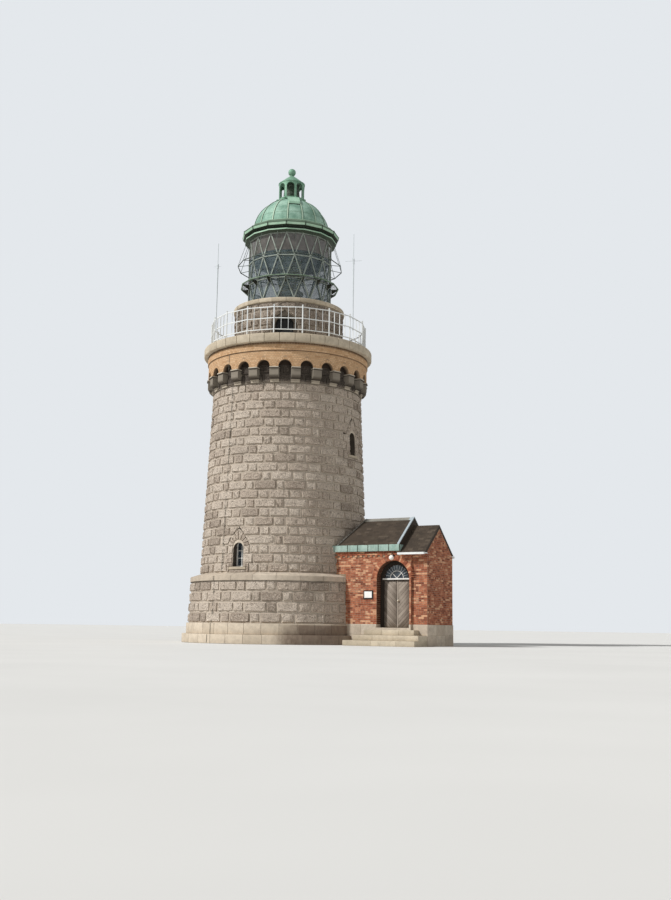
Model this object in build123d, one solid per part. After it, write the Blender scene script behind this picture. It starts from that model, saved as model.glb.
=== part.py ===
"""Granite lighthouse with a glazed lantern and a small brick entrance wing.

Millimetres, +Z up. The origin is on the tower's axis, at the underside of its footing.
The entrance faces -Y and its wing runs out along +X from the tower.
An azimuth is measured in degrees from -Y, growing towards +X.
"""
import os
from math import cos, degrees, radians, sin, tan

from build123d import *

JOINT = 2.0  # open joint between neighbouring blocks of one ring
BED = 0.3  # play where one piece seats on another
CUT = 100.0  # how far a cutting shape runs past what it cuts

# Tower masonry, from the ground up
SHAFT_INNER_R = 2300.0
FOOTING_R = 4250.0
FOOTING_TOP = 360.0
BASE_TOP = 808.0
BASE_R = 4076.0
PLINTH_FOOT_R = 3970.0
PLINTH_HEAD_R = 3895.0
PLINTH_TOP = 2485.0
BELT_R = 3960.0
BELT_FACE_TOP = 2680.0
BELT_TOP = 2820.0
SHAFT_FOOT_R = 3517.0
SHAFT_HEAD_R = 3181.0
SHAFT_COURSE = 372.0
SHAFT_COURSES = 21
SHAFT_SEGMENTS = 8
TOWER_FLOOR_TOP = 700.0
TOWER_DOOR_WIDTH = 1000.0

# Windows of the shaft
WINDOW_WIDTH = 500.0
WINDOW_HEIGHT = 1090.0
LOW_WINDOW_SILL = 3050.0
HIGH_WINDOW_SILL = 7865.0
SILL_HEIGHT = 115.0
SILL_OVERHANG = 60.0
SILL_EXTRA = 100.0
SURROUND_PROUD = 25.0
SURROUND_WIDTH = 250.0
SURROUND_PEAK = 440.0
SURROUND_HALF_SWEEP = 20.0
WINDOW_REVEAL = 230.0
WINDOW_FRAME = 55.0
WINDOW_FRAME_DEPTH = 70.0
PANE_THICKNESS = 8.0

# Brick arcade below the gallery
ARCH_COUNT = 24
ARCH_WIDTH = 550.0
ARCADE_BACK_R = 3218.0
ARCADE_R = 3485.0
ARCADE_HEIGHT = 1310.0
SPRING_RISE = 615.0
STILT = 25.0
BAND_R = 3525.0
BAND_HEIGHT = 331.0

# Corbels that carry the arcade
CORBEL_WIDTH = 380.0
IMPOST_HEIGHT = 55.0
IMPOST_PROUD = 45.0
CORBEL_PROUD = 12.0
CORBEL_NOSE = 165.0
CORBEL_ROLL = 62.0
CORBEL_FACE = 245.0

# Gallery
COPING_R = 3700.0
COPING_FOOT_R = 3656.0
COPING_INNER_R = 3000.0
COPING_HEIGHT = 377.0
COPING_EDGE = 40.0
COPING_BLOCKS = 12
RAIL_R = 3420.0
RAIL_TURN = 1.5
POST_COUNT = 18
POST_RADIUS = 27.0
POST_SIDES = 8
POST_HEIGHT = 1240.0
POST_FOOT_R = 62.0
POST_FOOT_HEIGHT = 22.0
POST_CAP_R = 36.0
POST_CAP_HEIGHT = 26.0
RAIL_SECTION = 36.0
RAIL_DEPTH = 30.0
RAIL_HEIGHTS = (208.0, 692.0, 1169.0)
BALUSTER_WIDTH = 18.0
BALUSTERS_PER_BAY = 3

# Watch room drum
DRUM_R = 2350.0
DRUM_INNER_R = 1900.0
DRUM_HEIGHT = 1696.0
DRUM_SEGMENTS = 6
GALLERY_DOOR_AZIMUTH = 27.3
GALLERY_DOOR_WIDTH = 820.0
GALLERY_DOOR_HEIGHT = 1080.0
GALLERY_DOOR_SETBACK = 230.0
GALLERY_LEAF_THICKNESS = 45.0
CURB_R = 2460.0
CURB_HEIGHT = 196.0
CURB_BLOCKS = 8
CURB_INNER_R = 2050.0
CURB_EDGE = 30.0

# Lantern
SIDES = 16
LANTERN_TURN = 4.0
GLAZING_R = 1835.0
LANTERN_SILL_HEIGHT = 163.0
SILL_RING_FOOT = 70.0
SILL_RING_HEAD = 45.0
SILL_RING_INSET = 80.0
TIER_HEIGHTS = (923.0, 1007.0, 1001.0)
BAR_WIDTH = 46.0
BAR_DEPTH = 60.0
HUB_R = 42.0
HUB_SIDES = 6
HUB_PROUD = 10.0
GLASS_THICKNESS = 8.0
CATWALK_R = 2200.0
CATWALK_THICKNESS = 35.0
CATWALK_DROP = 10.0
CATWALK_PLAY = 26.0
BRACKET_DEPTH = 230.0
BRACKET_NOSE = 35.0
BRACKET_INSET = 30.0
BRACKET_THICKNESS = 16.0
HANDRAIL_R = 2340.0
HANDRAIL_SECTION = 30.0
HANDRAIL_RISE = 935.0
STRUT_WIDTH = 20.0
HANGER_WIDTH = 16.0
HANGER_INSET = 90.0

# Cornice and dome
SOFFIT_INNER_PROUD = 40.0
SOFFIT_R = 2070.0
SOFFIT_RISE = 60.0
LIP_HEIGHT = 54.0
RECESS_R = 1960.0
RECESS_HEIGHT = 142.0
GUTTER_R = 2180.0
GUTTER_HEIGHT = 150.0
GUTTER_TAPER = 25.0
APRON_FOOT_INSET = 40.0
APRON_KNEE_INSET = 205.0
APRON_KNEE_RISE = 168.0
APRON_HEIGHT = 242.0
CORNICE_INNER_R = 1560.0
DOME_R = 1710.0
DOME_SHOULDER_R = 1463.0
DOME_SHOULDER_RISE = 696.0
DOME_SHOULDER_OUT, DOME_SHOULDER_UP = 0.8, 0.6
DOME_RISE = 1375.0
DOME_THICKNESS = 40.0
DOME_SEAT = 45.0
DOME_SEAM_RISE = 395.0
BATTEN_WIDTH = 44.0
BATTEN_PROUD = 26.0
HATCH_WIDTH = 480.0
HATCH_LENGTH = 740.0
HATCH_GAP = 60.0
HATCH_PROUD = 90.0
HATCH_PANEL = 1

# Ventilator and finial
VENT_R = 585.0
VENT_WALL = 70.0
VENT_FLOOR = 40.0
VENT_HEIGHT = 878.0
VENT_OPENINGS = 8
VENT_OPENING_WIDTH = 345.0
VENT_OPENING_FOOT = 150.0
VENT_OPENING_HEIGHT = 680.0
CAP_HEIGHT = 400.0
CAP_RIM_PROUD = 15.0
CAP_RIM_HEIGHT = 35.0
CAP_SHOULDER_R = 410.0
CAP_SHOULDER_RISE = 185.0
CAP_TOP_R = 140.0
NECK_FLARE = 20.0
NECK_R = 85.0
NECK_HEIGHT = 67.0
BALL_R = 172.0
BALL_SEAT = 16.0

# Optic
PEDESTAL_R = 330.0
PEDESTAL_COLUMN_R = 198.0
PEDESTAL_HEIGHT = 900.0
PEDESTAL_FOOT = 80.0
TABLE_THICKNESS = 60.0
LENS_R = 620.0
LENS_INNER_R = 217.0
LENS_HEIGHT = 1900.0
LENS_STEPS = 7
LENS_END_DROP = 0.5
LENS_GROOVE = 0.92

# Whip aerials and lightning conductor
AERIAL_AZIMUTHS = (-35.0, 85.0)
AERIAL_RADIUS = 20.0
AERIAL_TIP_RADIUS = 8.0
AERIAL_JOINTS = (3510.0, 3690.0)
AERIAL_TOPS = (4560.0, 4910.0)
AERIAL_START = 600.0
CONDUCTOR_AZIMUTH = -13.0
CONDUCTOR_WIDTH = 50.0
CONDUCTOR_THICKNESS = 12.0
CONDUCTOR_GAP = 20.0

# Entrance wing
WING_FRONT = -1280.0
WING_BACK = 1280.0
WING_END = 7300.0
WING_ROOT = 1500.0
FRONT_THICKNESS = 600.0
BACK_THICKNESS = 400.0
PARTY_THICKNESS = 350.0
STONE_PLINTH_TOP = 835.0
STONE_PLINTH_PROUD = 20.0
WALL_TOP = 3700.0
PIER_SETBACK = 110.0
PIER_SETBACK_START = 6650.0
DOORWAY_CENTRE = 5860.0
DOORWAY_WIDTH = 1420.0
DOORWAY_CROWN = 3330.0
DOOR_SETBACK = 340.0
DOOR_FRAME_DEPTH = 100.0
DOOR_WIDTH = 1134.0
DOOR_HEIGHT = 1864.0
TRANSOM_HEIGHT = 71.0
FANLIGHT_R = 520.0
LEAF_THICKNESS = 45.0
LEAF_CLEARANCE = 5.0
HINGE_RADIUS = 8.0
HINGE_LENGTH = 120.0
HINGE_PIN_SETBACK = 3.0
HINGE_PLATE = 50.0
KNOB_RADIUS = 28.0
KNOB_HEIGHT = 1050.0
KNOB_INSET = 60.0
KNOB_REACH = 50.0
SPINDLE_RADIUS = 10.0
HINGE_INSET = 200.0
THRESHOLD_TOP = 706.0
PASSAGE_FLOOR_TOP = 700.0
STEP_TOPS = (620.0, 415.0, 210.0)
STEP_LEFT = 4780.0
STEP_TREAD = 350.0
STEP_SIDE_TREAD = 285.0
STEP_RIGHT = 6950.0

# Wing roof
EAVES_OVERHANG = 130.0
EAVES_HEIGHT = 255.0
EAVES_DEPTH = 410.0
ROOF_SLOPE = 39.7
ROOF_THICKNESS = 120.0
RIDGE_START = 3990.0
HIP_RUN = 560.0
VERGE = 6200.0
STRIP_DROP = 335.0
STRIP_BOARD = 40.0
GUTTER_DEPTH = 110.0
GUTTER_SIZE = 80.0
GUTTER_LAP = 40.0
FLASHING_WIDTH = 90.0
FLASHING_PROUD = 45.0
RIDGE_CAP_HALF = 130.0
LAMP_X = 5893.0
LAMP_Z = 3422.0
LAMP_RADIUS = 100.0
LAMP_REACH = 210.0
LAMP_ARM_RISE = 90.0
LAMP_ARM_R = 16.0
LAMP_PLATE_R = 60.0
LAMP_PLATE_THICKNESS = 20.0
NOTICE_X = 4785.0
NOTICE_Z = 1990.0
NOTICE_WIDTH = 410.0
NOTICE_HEIGHT = 330.0
NOTICE_DEPTH = 40.0
NOTICE_FRAME = 30.0
NOTICE_RECESS = 12.0

# Levels that follow from the sizes above
SHAFT_TOP = BELT_TOP + SHAFT_COURSE * SHAFT_COURSES
FIRST_JOINT = -180 / SHAFT_SEGMENTS
SPRING_Z = SHAFT_TOP + SPRING_RISE
ARCADE_TOP = SHAFT_TOP + ARCADE_HEIGHT
BAND_TOP = ARCADE_TOP + BAND_HEIGHT
GALLERY_Z = BAND_TOP + COPING_HEIGHT
DRUM_TOP = GALLERY_Z + DRUM_HEIGHT
CURB_TOP = DRUM_TOP + CURB_HEIGHT
RING_LEVELS = [CURB_TOP + LANTERN_SILL_HEIGHT]
for tier_height in TIER_HEIGHTS:
    RING_LEVELS.append(RING_LEVELS[-1] + tier_height)
LANTERN_TOP = RING_LEVELS[-1] + BAR_WIDTH / 2
RECESS_Z = LANTERN_TOP + SOFFIT_RISE + LIP_HEIGHT
GUTTER_Z = RECESS_Z + RECESS_HEIGHT
APRON_Z = GUTTER_Z + GUTTER_HEIGHT
DOME_Z = APRON_Z + APRON_HEIGHT
VENT_Z = DOME_Z + DOME_RISE
CAP_Z = VENT_Z + VENT_HEIGHT
DOOR_TOP = THRESHOLD_TOP + LEAF_CLEARANCE + DOOR_HEIGHT
DOOR_FACE = WING_FRONT + DOOR_SETBACK
EAVES_TOP = WALL_TOP + EAVES_HEIGHT
STRIP_EAVES = EAVES_TOP - STRIP_DROP
STRIP_WALL_TOP = STRIP_EAVES - STRIP_BOARD
SLOPE = tan(radians(ROOF_SLOPE))
ROOF_DROP = ROOF_THICKNESS / cos(radians(ROOF_SLOPE))
LATTICE_FACE_R = GLAZING_R + BAR_DEPTH / 2 + HUB_PROUD
DECK_Z = RING_LEVELS[1] - CATWALK_DROP
HANDRAIL_Z = RING_LEVELS[1] + HANDRAIL_RISE


def turned(shape, azimuth):
    """Turn a shape that was made at azimuth 90 (along +X) to an azimuth."""
    return Rot(0, 0, azimuth - 90) * shape


def wall_plane(azimuth, radius, z=0.0):
    """Plane that faces outwards at an azimuth: x to the right, y up."""
    a = radians(azimuth)
    outward = (sin(a), -cos(a), 0)
    origin = (outward[0] * radius, outward[1] * radius, z)
    return Plane(origin=origin, x_dir=(cos(a), sin(a), 0), z_dir=outward)


def around(radius, azimuth, z):
    a = radians(azimuth)
    return Vector(radius * sin(a), -radius * cos(a), z)


def swept_ring(points, start, end):
    """Revolve a closed (radius, height) outline between two azimuths."""
    profile = make_face(Plane.XZ * Polyline(*points, close=True))
    return turned(revolve(profile, Axis.Z, revolution_arc=end - start), start)


def ring_blocks(points, count, start=0.0, sweep=360.0):
    """Equal blocks of one ring, an open joint apart, with their azimuths."""
    pitch = sweep / count
    half = (pitch - degrees(JOINT / max(r for r, z in points))) / 2
    blocks = []
    for index in range(count):
        middle = start + pitch * (index + 0.5)
        blocks.append((middle, swept_ring(points, middle - half, middle + half)))
    return blocks


def arch_face(width, foot, crown):
    """Round-headed outline, centred on x = 0."""
    spring = crown - width / 2
    sides = Polyline((-width / 2, spring), (-width / 2, foot), (width / 2, foot), (width / 2, spring))
    head = ThreePointArc((width / 2, spring), (0, crown), (-width / 2, spring))
    return make_face(Curve() + [sides, head])


def arch_prism(width, foot, crown, azimuth, r_from, r_to):
    face = wall_plane(azimuth, r_from) * arch_face(width, foot, crown)
    return extrude(face, amount=r_to - r_from)


def box(x0, x1, y0, y1, z0, z1):
    centre = ((x0 + x1) / 2, (y0 + y1) / 2, (z0 + z1) / 2)
    return Pos(*centre) * Box(x1 - x0, y1 - y0, z1 - z0)


def column(radius, z_low, z_high, x=0.0, y=0.0):
    """Upright round solid between two levels."""
    upright = Cylinder(radius, z_high - z_low, align=(Align.CENTER, Align.CENTER, Align.MIN))
    return Pos(x, y, z_low) * upright


def prism(radius, sides, z_low, z_high, x=0.0, y=0.0):
    """Upright many-sided solid between two levels."""
    return extrude(Pos(x, y, z_low) * RegularPolygon(radius, sides), amount=z_high - z_low)


def radial_plate(outline, width):
    """Flat plate that stands radially at azimuth 90, drawn as (radius, height) points."""
    return extrude(make_face(Plane.XZ * Polyline(*outline, close=True)), amount=width / 2, both=True)


def polygon_frustum(r_low, z_low, r_high, z_high, sides=SIDES):
    """Regular many-sided frustum whose corners follow the lantern's."""
    low = Plane(origin=(0, 0, z_low)) * Rot(0, 0, LANTERN_TURN - 90) * RegularPolygon(r_low, sides)
    high = Plane(origin=(0, 0, z_high)) * Rot(0, 0, LANTERN_TURN - 90) * RegularPolygon(r_high, sides)
    return loft([low, high])


def bar_between(start, end, width, depth, outward):
    """Straight bar of rectangular section, its depth along the outward direction."""
    along = end - start
    across = along.cross(outward).normalized()
    plane = Plane(origin=(start + end) * 0.5, x_dir=across, z_dir=along.normalized())
    return plane * Box(width, depth, along.length)


def shaft_radius(z):
    share = (z - BELT_TOP) / (SHAFT_TOP - BELT_TOP)
    return SHAFT_FOOT_R + (SHAFT_HEAD_R - SHAFT_FOOT_R) * share


def plinth_radius(z):
    share = (z - BASE_TOP) / (PLINTH_TOP - BASE_TOP)
    return PLINTH_FOOT_R + (PLINTH_HEAD_R - PLINTH_FOOT_R) * share


def tower_envelope(play):
    """Solid outline of the lower tower, a little larger, to fit the wing against it."""
    points = [
        (0, -CUT), (FOOTING_R + play, -CUT), (FOOTING_R + play, FOOTING_TOP + play),
        (BASE_R + play, FOOTING_TOP + play), (BASE_R + play, BASE_TOP + play),
        (PLINTH_FOOT_R + play, BASE_TOP + play), (PLINTH_HEAD_R + play, PLINTH_TOP - play),
        (BELT_R + play, PLINTH_TOP - play), (BELT_R + play, BELT_FACE_TOP + play),
        (SHAFT_FOOT_R + play, BELT_TOP + play), (SHAFT_HEAD_R + play, SHAFT_TOP), (0, SHAFT_TOP),
    ]
    return revolve(make_face(Plane.XZ * Polyline(*points, close=True)), Axis.Z)


WINDOWS = [
    (0.0, LOW_WINDOW_SILL), (90.0, HIGH_WINDOW_SILL),
    (180.0, LOW_WINDOW_SILL), (270.0, HIGH_WINDOW_SILL),
]


def window_hole(azimuth, sill):
    return arch_prism(WINDOW_WIDTH, sill, sill + WINDOW_HEIGHT, azimuth, SHAFT_INNER_R - CUT, BELT_R)


def ring_with_holes(points, count, start, holes):
    """Ring of blocks, each cut by the holes whose azimuth falls within it."""
    solids = []
    for middle, block in ring_blocks(points, count, start):
        for azimuth, hole in holes:
            offset = (azimuth - middle + 180) % 360 - 180
            if abs(offset) < 360 / count / 2:
                block = block - hole
        solids.append(block)
    return solids


def footing():
    return [column(FOOTING_R, 0, FOOTING_TOP)]


def tower_doorway():
    half = TOWER_DOOR_WIDTH / 2
    return box(0, FOOTING_R, -half, half, FOOTING_TOP, PLINTH_TOP)


def base_course():
    """Ring of granite, open at the tower's doorway over a lower sill stone."""
    points = [(SHAFT_INNER_R, FOOTING_TOP), (BASE_R, FOOTING_TOP), (BASE_R, BASE_TOP),
              (SHAFT_INNER_R, BASE_TOP)]
    solids = ring_with_holes(points, SHAFT_SEGMENTS, FIRST_JOINT, [(90, tower_doorway())])
    half = TOWER_DOOR_WIDTH / 2 - BED
    sill = column(BASE_R, FOOTING_TOP, TOWER_FLOOR_TOP) - column(SHAFT_INNER_R, FOOTING_TOP, TOWER_FLOOR_TOP)
    solids.append(sill & box(0, BASE_R, -half, half, FOOTING_TOP, TOWER_FLOOR_TOP))
    return solids


def plinth_wall():
    points = [(SHAFT_INNER_R, BASE_TOP), (PLINTH_FOOT_R, BASE_TOP), (PLINTH_HEAD_R, PLINTH_TOP),
              (SHAFT_INNER_R, PLINTH_TOP)]
    return ring_with_holes(points, SHAFT_SEGMENTS, FIRST_JOINT, [(90, tower_doorway())])


def belt_course():
    """Projecting course with a weathered top."""
    points = [(SHAFT_INNER_R, PLINTH_TOP), (BELT_R, PLINTH_TOP), (BELT_R, BELT_FACE_TOP),
              (SHAFT_FOOT_R, BELT_TOP), (SHAFT_INNER_R, BELT_TOP)]
    return ring_with_holes(points, SHAFT_SEGMENTS, FIRST_JOINT, [])


def shaft_wall():
    """Tapering shaft with its four windows cut through."""
    points = [(SHAFT_INNER_R, BELT_TOP), (SHAFT_FOOT_R, BELT_TOP), (SHAFT_HEAD_R, SHAFT_TOP),
              (SHAFT_INNER_R, SHAFT_TOP)]
    holes = [(azimuth, window_hole(azimuth, sill)) for azimuth, sill in WINDOWS]
    return ring_with_holes(points, SHAFT_SEGMENTS, FIRST_JOINT, holes)


def tower_floors():
    """Ground floor, gallery floor and lantern floor, each let into its ring of masonry."""
    return [
        column(SHAFT_INNER_R - BED, FOOTING_TOP, TOWER_FLOOR_TOP),
        column(COPING_INNER_R - BED, BAND_TOP, GALLERY_Z),
        column(CURB_INNER_R - BED, DRUM_TOP, CURB_TOP),
    ]


def wall_skin(proud, azimuth):
    """Thin shell that follows the shaft's taper and stands proud of its face."""
    points = [(SHAFT_FOOT_R + BED, BELT_TOP), (SHAFT_FOOT_R + proud, BELT_TOP),
              (SHAFT_HEAD_R + proud, SHAFT_TOP), (SHAFT_HEAD_R + BED, SHAFT_TOP)]
    return swept_ring(points, azimuth - SURROUND_HALF_SWEEP, azimuth + SURROUND_HALF_SWEEP)


def window_surrounds():
    """Dressed jambs with a pointed head and a sill, proud of the rock-faced wall."""
    solids = []
    reach = BELT_R - SHAFT_INNER_R
    for azimuth, sill in WINDOWS:
        plane = wall_plane(azimuth, SHAFT_INNER_R)
        spring = sill + WINDOW_HEIGHT - WINDOW_WIDTH / 2
        half = WINDOW_WIDTH / 2 + SURROUND_WIDTH
        peak = sill + WINDOW_HEIGHT + SURROUND_PEAK
        outline = Polyline((-half, sill), (half, sill), (half, spring), (0, peak), (-half, spring),
                           close=True)
        jambs = extrude(plane * make_face(outline), amount=reach)
        solids.append((jambs & wall_skin(SURROUND_PROUD, azimuth)) - window_hole(azimuth, sill - SILL_HEIGHT))
        half = WINDOW_WIDTH / 2 + SILL_EXTRA
        stone = box(-half, half, sill - SILL_HEIGHT, sill - BED, 0, reach)
        solids.append((plane * stone) & wall_skin(SILL_OVERHANG, azimuth))
    return solids


def window_frames():
    solids = []
    for azimuth, sill in WINDOWS:
        face_r = shaft_radius(sill + WINDOW_HEIGHT) - WINDOW_REVEAL
        outer = arch_face(WINDOW_WIDTH, sill, sill + WINDOW_HEIGHT)
        inner = arch_face(WINDOW_WIDTH - 2 * WINDOW_FRAME, sill + WINDOW_FRAME,
                          sill + WINDOW_HEIGHT - WINDOW_FRAME)
        plane = wall_plane(azimuth, face_r - WINDOW_FRAME_DEPTH)
        solids.append(extrude(plane * (outer - inner), amount=WINDOW_FRAME_DEPTH))
    return solids


def window_glass():
    solids = []
    for azimuth, sill in WINDOWS:
        middle = shaft_radius(sill + WINDOW_HEIGHT) - WINDOW_REVEAL - WINDOW_FRAME_DEPTH / 2
        face = arch_face(WINDOW_WIDTH - 2 * WINDOW_FRAME, sill + WINDOW_FRAME,
                         sill + WINDOW_HEIGHT - WINDOW_FRAME)
        solids.append(extrude(wall_plane(azimuth, middle) * face, amount=PANE_THICKNESS))
    return solids


def corbels():
    """Impost, plain face, bold quarter-round nose and a smaller roll beneath."""
    top = SPRING_Z
    face_r = ARCADE_R + CORBEL_PROUD
    face_foot = top - IMPOST_HEIGHT - CORBEL_FACE
    nose_r = face_r - CORBEL_NOSE
    nose_foot = face_foot - CORBEL_NOSE
    roll_r = nose_r - CORBEL_ROLL
    roll_foot = nose_foot - CORBEL_ROLL
    back = ARCADE_BACK_R + BED
    s = sin(radians(45))
    upper = Polyline((back, top), (face_r + IMPOST_PROUD, top), (face_r + IMPOST_PROUD, top - IMPOST_HEIGHT),
                     (face_r, top - IMPOST_HEIGHT), (face_r, face_foot))
    nose = ThreePointArc((face_r, face_foot), (nose_r + CORBEL_NOSE * s, face_foot - CORBEL_NOSE * s),
                         (nose_r, nose_foot))
    roll = ThreePointArc((nose_r, nose_foot), (roll_r + CORBEL_ROLL * s, nose_foot - CORBEL_ROLL * s),
                         (roll_r, roll_foot))
    rest = Polyline((roll_r, roll_foot), (back, roll_foot), (back, top))
    profile = make_face(Plane.XZ * (Curve() + [upper, nose, roll, rest]))
    corbel = extrude(profile, amount=CORBEL_WIDTH / 2, both=True) - column(back, SHAFT_TOP, ARCADE_TOP)
    pitch = 360 / ARCH_COUNT
    return [turned(corbel, (index + 0.5) * pitch) for index in range(ARCH_COUNT)]


def brick_arcade():
    """Round arches that spring from corbel to corbel, with the plain band over them."""
    points = [(SHAFT_INNER_R, SHAFT_TOP), (ARCADE_BACK_R, SHAFT_TOP), (ARCADE_BACK_R, SPRING_Z),
              (ARCADE_R, SPRING_Z), (ARCADE_R, ARCADE_TOP), (BAND_R, ARCADE_TOP), (BAND_R, BAND_TOP),
              (SHAFT_INNER_R, BAND_TOP)]
    crown = SPRING_Z + STILT + ARCH_WIDTH / 2
    pitch = 360 / ARCH_COUNT
    core = column(ARCADE_BACK_R, SHAFT_TOP, ARCADE_TOP)
    holes = []
    for index in range(ARCH_COUNT):
        azimuth = index * pitch
        hole = arch_prism(ARCH_WIDTH, SPRING_Z - CUT, crown, azimuth, SHAFT_HEAD_R - CUT, ARCADE_R + CUT)
        holes.append((azimuth, hole - core))
    return ring_with_holes(points, SHAFT_SEGMENTS, FIRST_JOINT, holes)


def gallery_coping():
    points = [(COPING_INNER_R, BAND_TOP), (COPING_FOOT_R, BAND_TOP), (COPING_R, BAND_TOP + COPING_EDGE),
              (COPING_R, GALLERY_Z - COPING_EDGE), (COPING_R - COPING_EDGE, GALLERY_Z),
              (COPING_INNER_R, GALLERY_Z)]
    return [block for middle, block in ring_blocks(points, COPING_BLOCKS)]


def railing_bays():
    """Straight lengths of three rails and slim balusters, each bay with the post at its end."""
    half_pitch = 180 / POST_COUNT
    length = 2 * RAIL_R * sin(radians(half_pitch))
    low = RAIL_HEIGHTS[0] - RAIL_SECTION / 2
    high = RAIL_HEIGHTS[-1] + RAIL_SECTION / 2
    pitch = length / (BALUSTERS_PER_BAY + 1)
    grille = Pos(0, (low + high) / 2) * Rectangle(length, high - low)
    for lower, upper in zip(RAIL_HEIGHTS, RAIL_HEIGHTS[1:]):
        for index in range(BALUSTERS_PER_BAY + 1):
            centre = Pos((index + 0.5) * pitch - length / 2, (lower + upper) / 2)
            grille -= centre * Rectangle(pitch - BALUSTER_WIDTH, upper - lower - RAIL_SECTION)
    plane = wall_plane(half_pitch, RAIL_R * cos(radians(half_pitch)), GALLERY_Z)
    panel = extrude(plane * grille, amount=RAIL_DEPTH / 2, both=True)
    top = GALLERY_Z + POST_HEIGHT
    bay = panel + prism(POST_RADIUS, POST_SIDES, GALLERY_Z, top, y=-RAIL_R)
    bay += prism(POST_FOOT_R, POST_SIDES, GALLERY_Z, GALLERY_Z + POST_FOOT_HEIGHT, y=-RAIL_R)
    bay += prism(POST_CAP_R, POST_SIDES, top, top + POST_CAP_HEIGHT, y=-RAIL_R)
    bay -= Rot(0, 0, 2 * half_pitch) * prism(POST_RADIUS + BED, POST_SIDES, GALLERY_Z, top, y=-RAIL_R)
    return [Rot(0, 0, RAIL_TURN + 2 * half_pitch * index) * bay for index in range(POST_COUNT)]


def drum_door_half_angle():
    return degrees(GALLERY_DOOR_WIDTH / 2 / DRUM_R)


def drum_wall():
    """Drum of six blocks, with a seventh over the low gallery door."""
    points = [(DRUM_INNER_R, GALLERY_Z), (DRUM_R, GALLERY_Z), (DRUM_R, DRUM_TOP), (DRUM_INNER_R, DRUM_TOP)]
    half = drum_door_half_angle()
    start = GALLERY_DOOR_AZIMUTH + half
    solids = [block for middle, block in ring_blocks(points, DRUM_SEGMENTS, start, 360 - 2 * half)]
    crown = GALLERY_Z + GALLERY_DOOR_HEIGHT
    spring = crown - GALLERY_DOOR_WIDTH / 2
    head = [(DRUM_INNER_R, spring), (DRUM_R, spring), (DRUM_R, DRUM_TOP), (DRUM_INNER_R, DRUM_TOP)]
    half -= degrees(BED / DRUM_R)
    over = swept_ring(head, GALLERY_DOOR_AZIMUTH - half, GALLERY_DOOR_AZIMUTH + half)
    hole = arch_prism(GALLERY_DOOR_WIDTH - 2 * JOINT, spring - CUT, crown, GALLERY_DOOR_AZIMUTH,
                      DRUM_INNER_R - CUT, DRUM_R + CUT)
    solids.append(over - hole)
    return solids


def gallery_door():
    """Low round-headed iron door, set back in the drum's wall."""
    face_r = DRUM_R - GALLERY_DOOR_SETBACK
    jamb = face_r - GALLERY_LEAF_THICKNESS
    width = 2 * jamb * sin(radians(drum_door_half_angle()))
    crown = GALLERY_Z + GALLERY_DOOR_HEIGHT - JOINT
    leaf = arch_prism(GALLERY_DOOR_WIDTH - 4 * JOINT, GALLERY_Z, crown, GALLERY_DOOR_AZIMUTH, jamb, face_r)
    between = box(-width / 2 + JOINT, width / 2 - JOINT, GALLERY_Z - CUT, crown + CUT, -CUT, CUT)
    return [leaf & (wall_plane(GALLERY_DOOR_AZIMUTH, face_r) * between)]


def drum_curb():
    """Ring of dressed stone that overhangs the drum and carries the lantern."""
    points = [(CURB_INNER_R, DRUM_TOP), (DRUM_R, DRUM_TOP), (CURB_R, DRUM_TOP + CURB_EDGE),
              (CURB_R, CURB_TOP - CURB_EDGE), (CURB_R - CURB_EDGE, CURB_TOP), (CURB_INNER_R, CURB_TOP)]
    return [block for middle, block in ring_blocks(points, CURB_BLOCKS)]


def lantern_sill():
    """Low cast ring that the glazing stands on."""
    top = RING_LEVELS[0] - BAR_WIDTH / 2
    inner_r = GLAZING_R - SILL_RING_INSET
    outer = polygon_frustum(GLAZING_R + SILL_RING_FOOT, CURB_TOP, GLAZING_R + SILL_RING_HEAD, top)
    return [outer - polygon_frustum(inner_r, CURB_TOP - CUT, inner_r, top + CUT)]


def lantern_node(level, index):
    """Joint of the glazing bars: every other ring is half a side round."""
    pitch = 360 / SIDES
    shift = 0.5 if level % 2 == 0 else 0.0
    return around(GLAZING_R, LANTERN_TURN + pitch * (index + shift), RING_LEVELS[level])


def lattice_pairs():
    """Every bar of the glazing as a pair of (level, index) joints."""
    pairs = []
    for level in range(len(RING_LEVELS)):
        pairs += [((level, i), (level, i + 1)) for i in range(SIDES)]
    for level in range(len(TIER_HEIGHTS)):
        back = 0 if level % 2 == 0 else -1
        for i in range(SIDES):
            pairs.append(((level, i), (level + 1, i + back)))
            pairs.append(((level, i), (level + 1, i + back + 1)))
    return pairs


def lantern_lattice():
    """Triangulated glazing bars, fused at cast hubs where they meet."""
    bars = []
    for first, second in lattice_pairs():
        p, q = lantern_node(*first), lantern_node(*second)
        middle = (p + q) * 0.5
        bars.append(bar_between(p, q, BAR_WIDTH, BAR_DEPTH, Vector(middle.X, middle.Y, 0).normalized()))
    for level in range(len(RING_LEVELS)):
        for i in range(SIDES):
            node = lantern_node(level, i)
            plane = Plane(origin=node, x_dir=(0, 0, 1), z_dir=(node.X, node.Y, 0))
            hub = plane * RegularPolygon(HUB_R, HUB_SIDES)
            bars.append(extrude(hub, amount=BAR_DEPTH / 2 + HUB_PROUD, both=True))
    low = RING_LEVELS[0] - BAR_WIDTH / 2
    return [bars[0].fuse(*bars[1:]) & column(GLAZING_R + CUT, low, LANTERN_TOP)]


def lantern_glass():
    panes = []
    for level in range(len(TIER_HEIGHTS)):
        back = 0 if level % 2 == 0 else -1
        for i in range(SIDES):
            low_pair = (lantern_node(level, i), lantern_node(level, i + 1))
            high_pair = (lantern_node(level + 1, i + back), lantern_node(level + 1, i + back + 1))
            panes.append(pane(low_pair[0], low_pair[1], high_pair[1]))
            panes.append(pane(high_pair[0], low_pair[0], high_pair[1]))
    return panes


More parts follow.
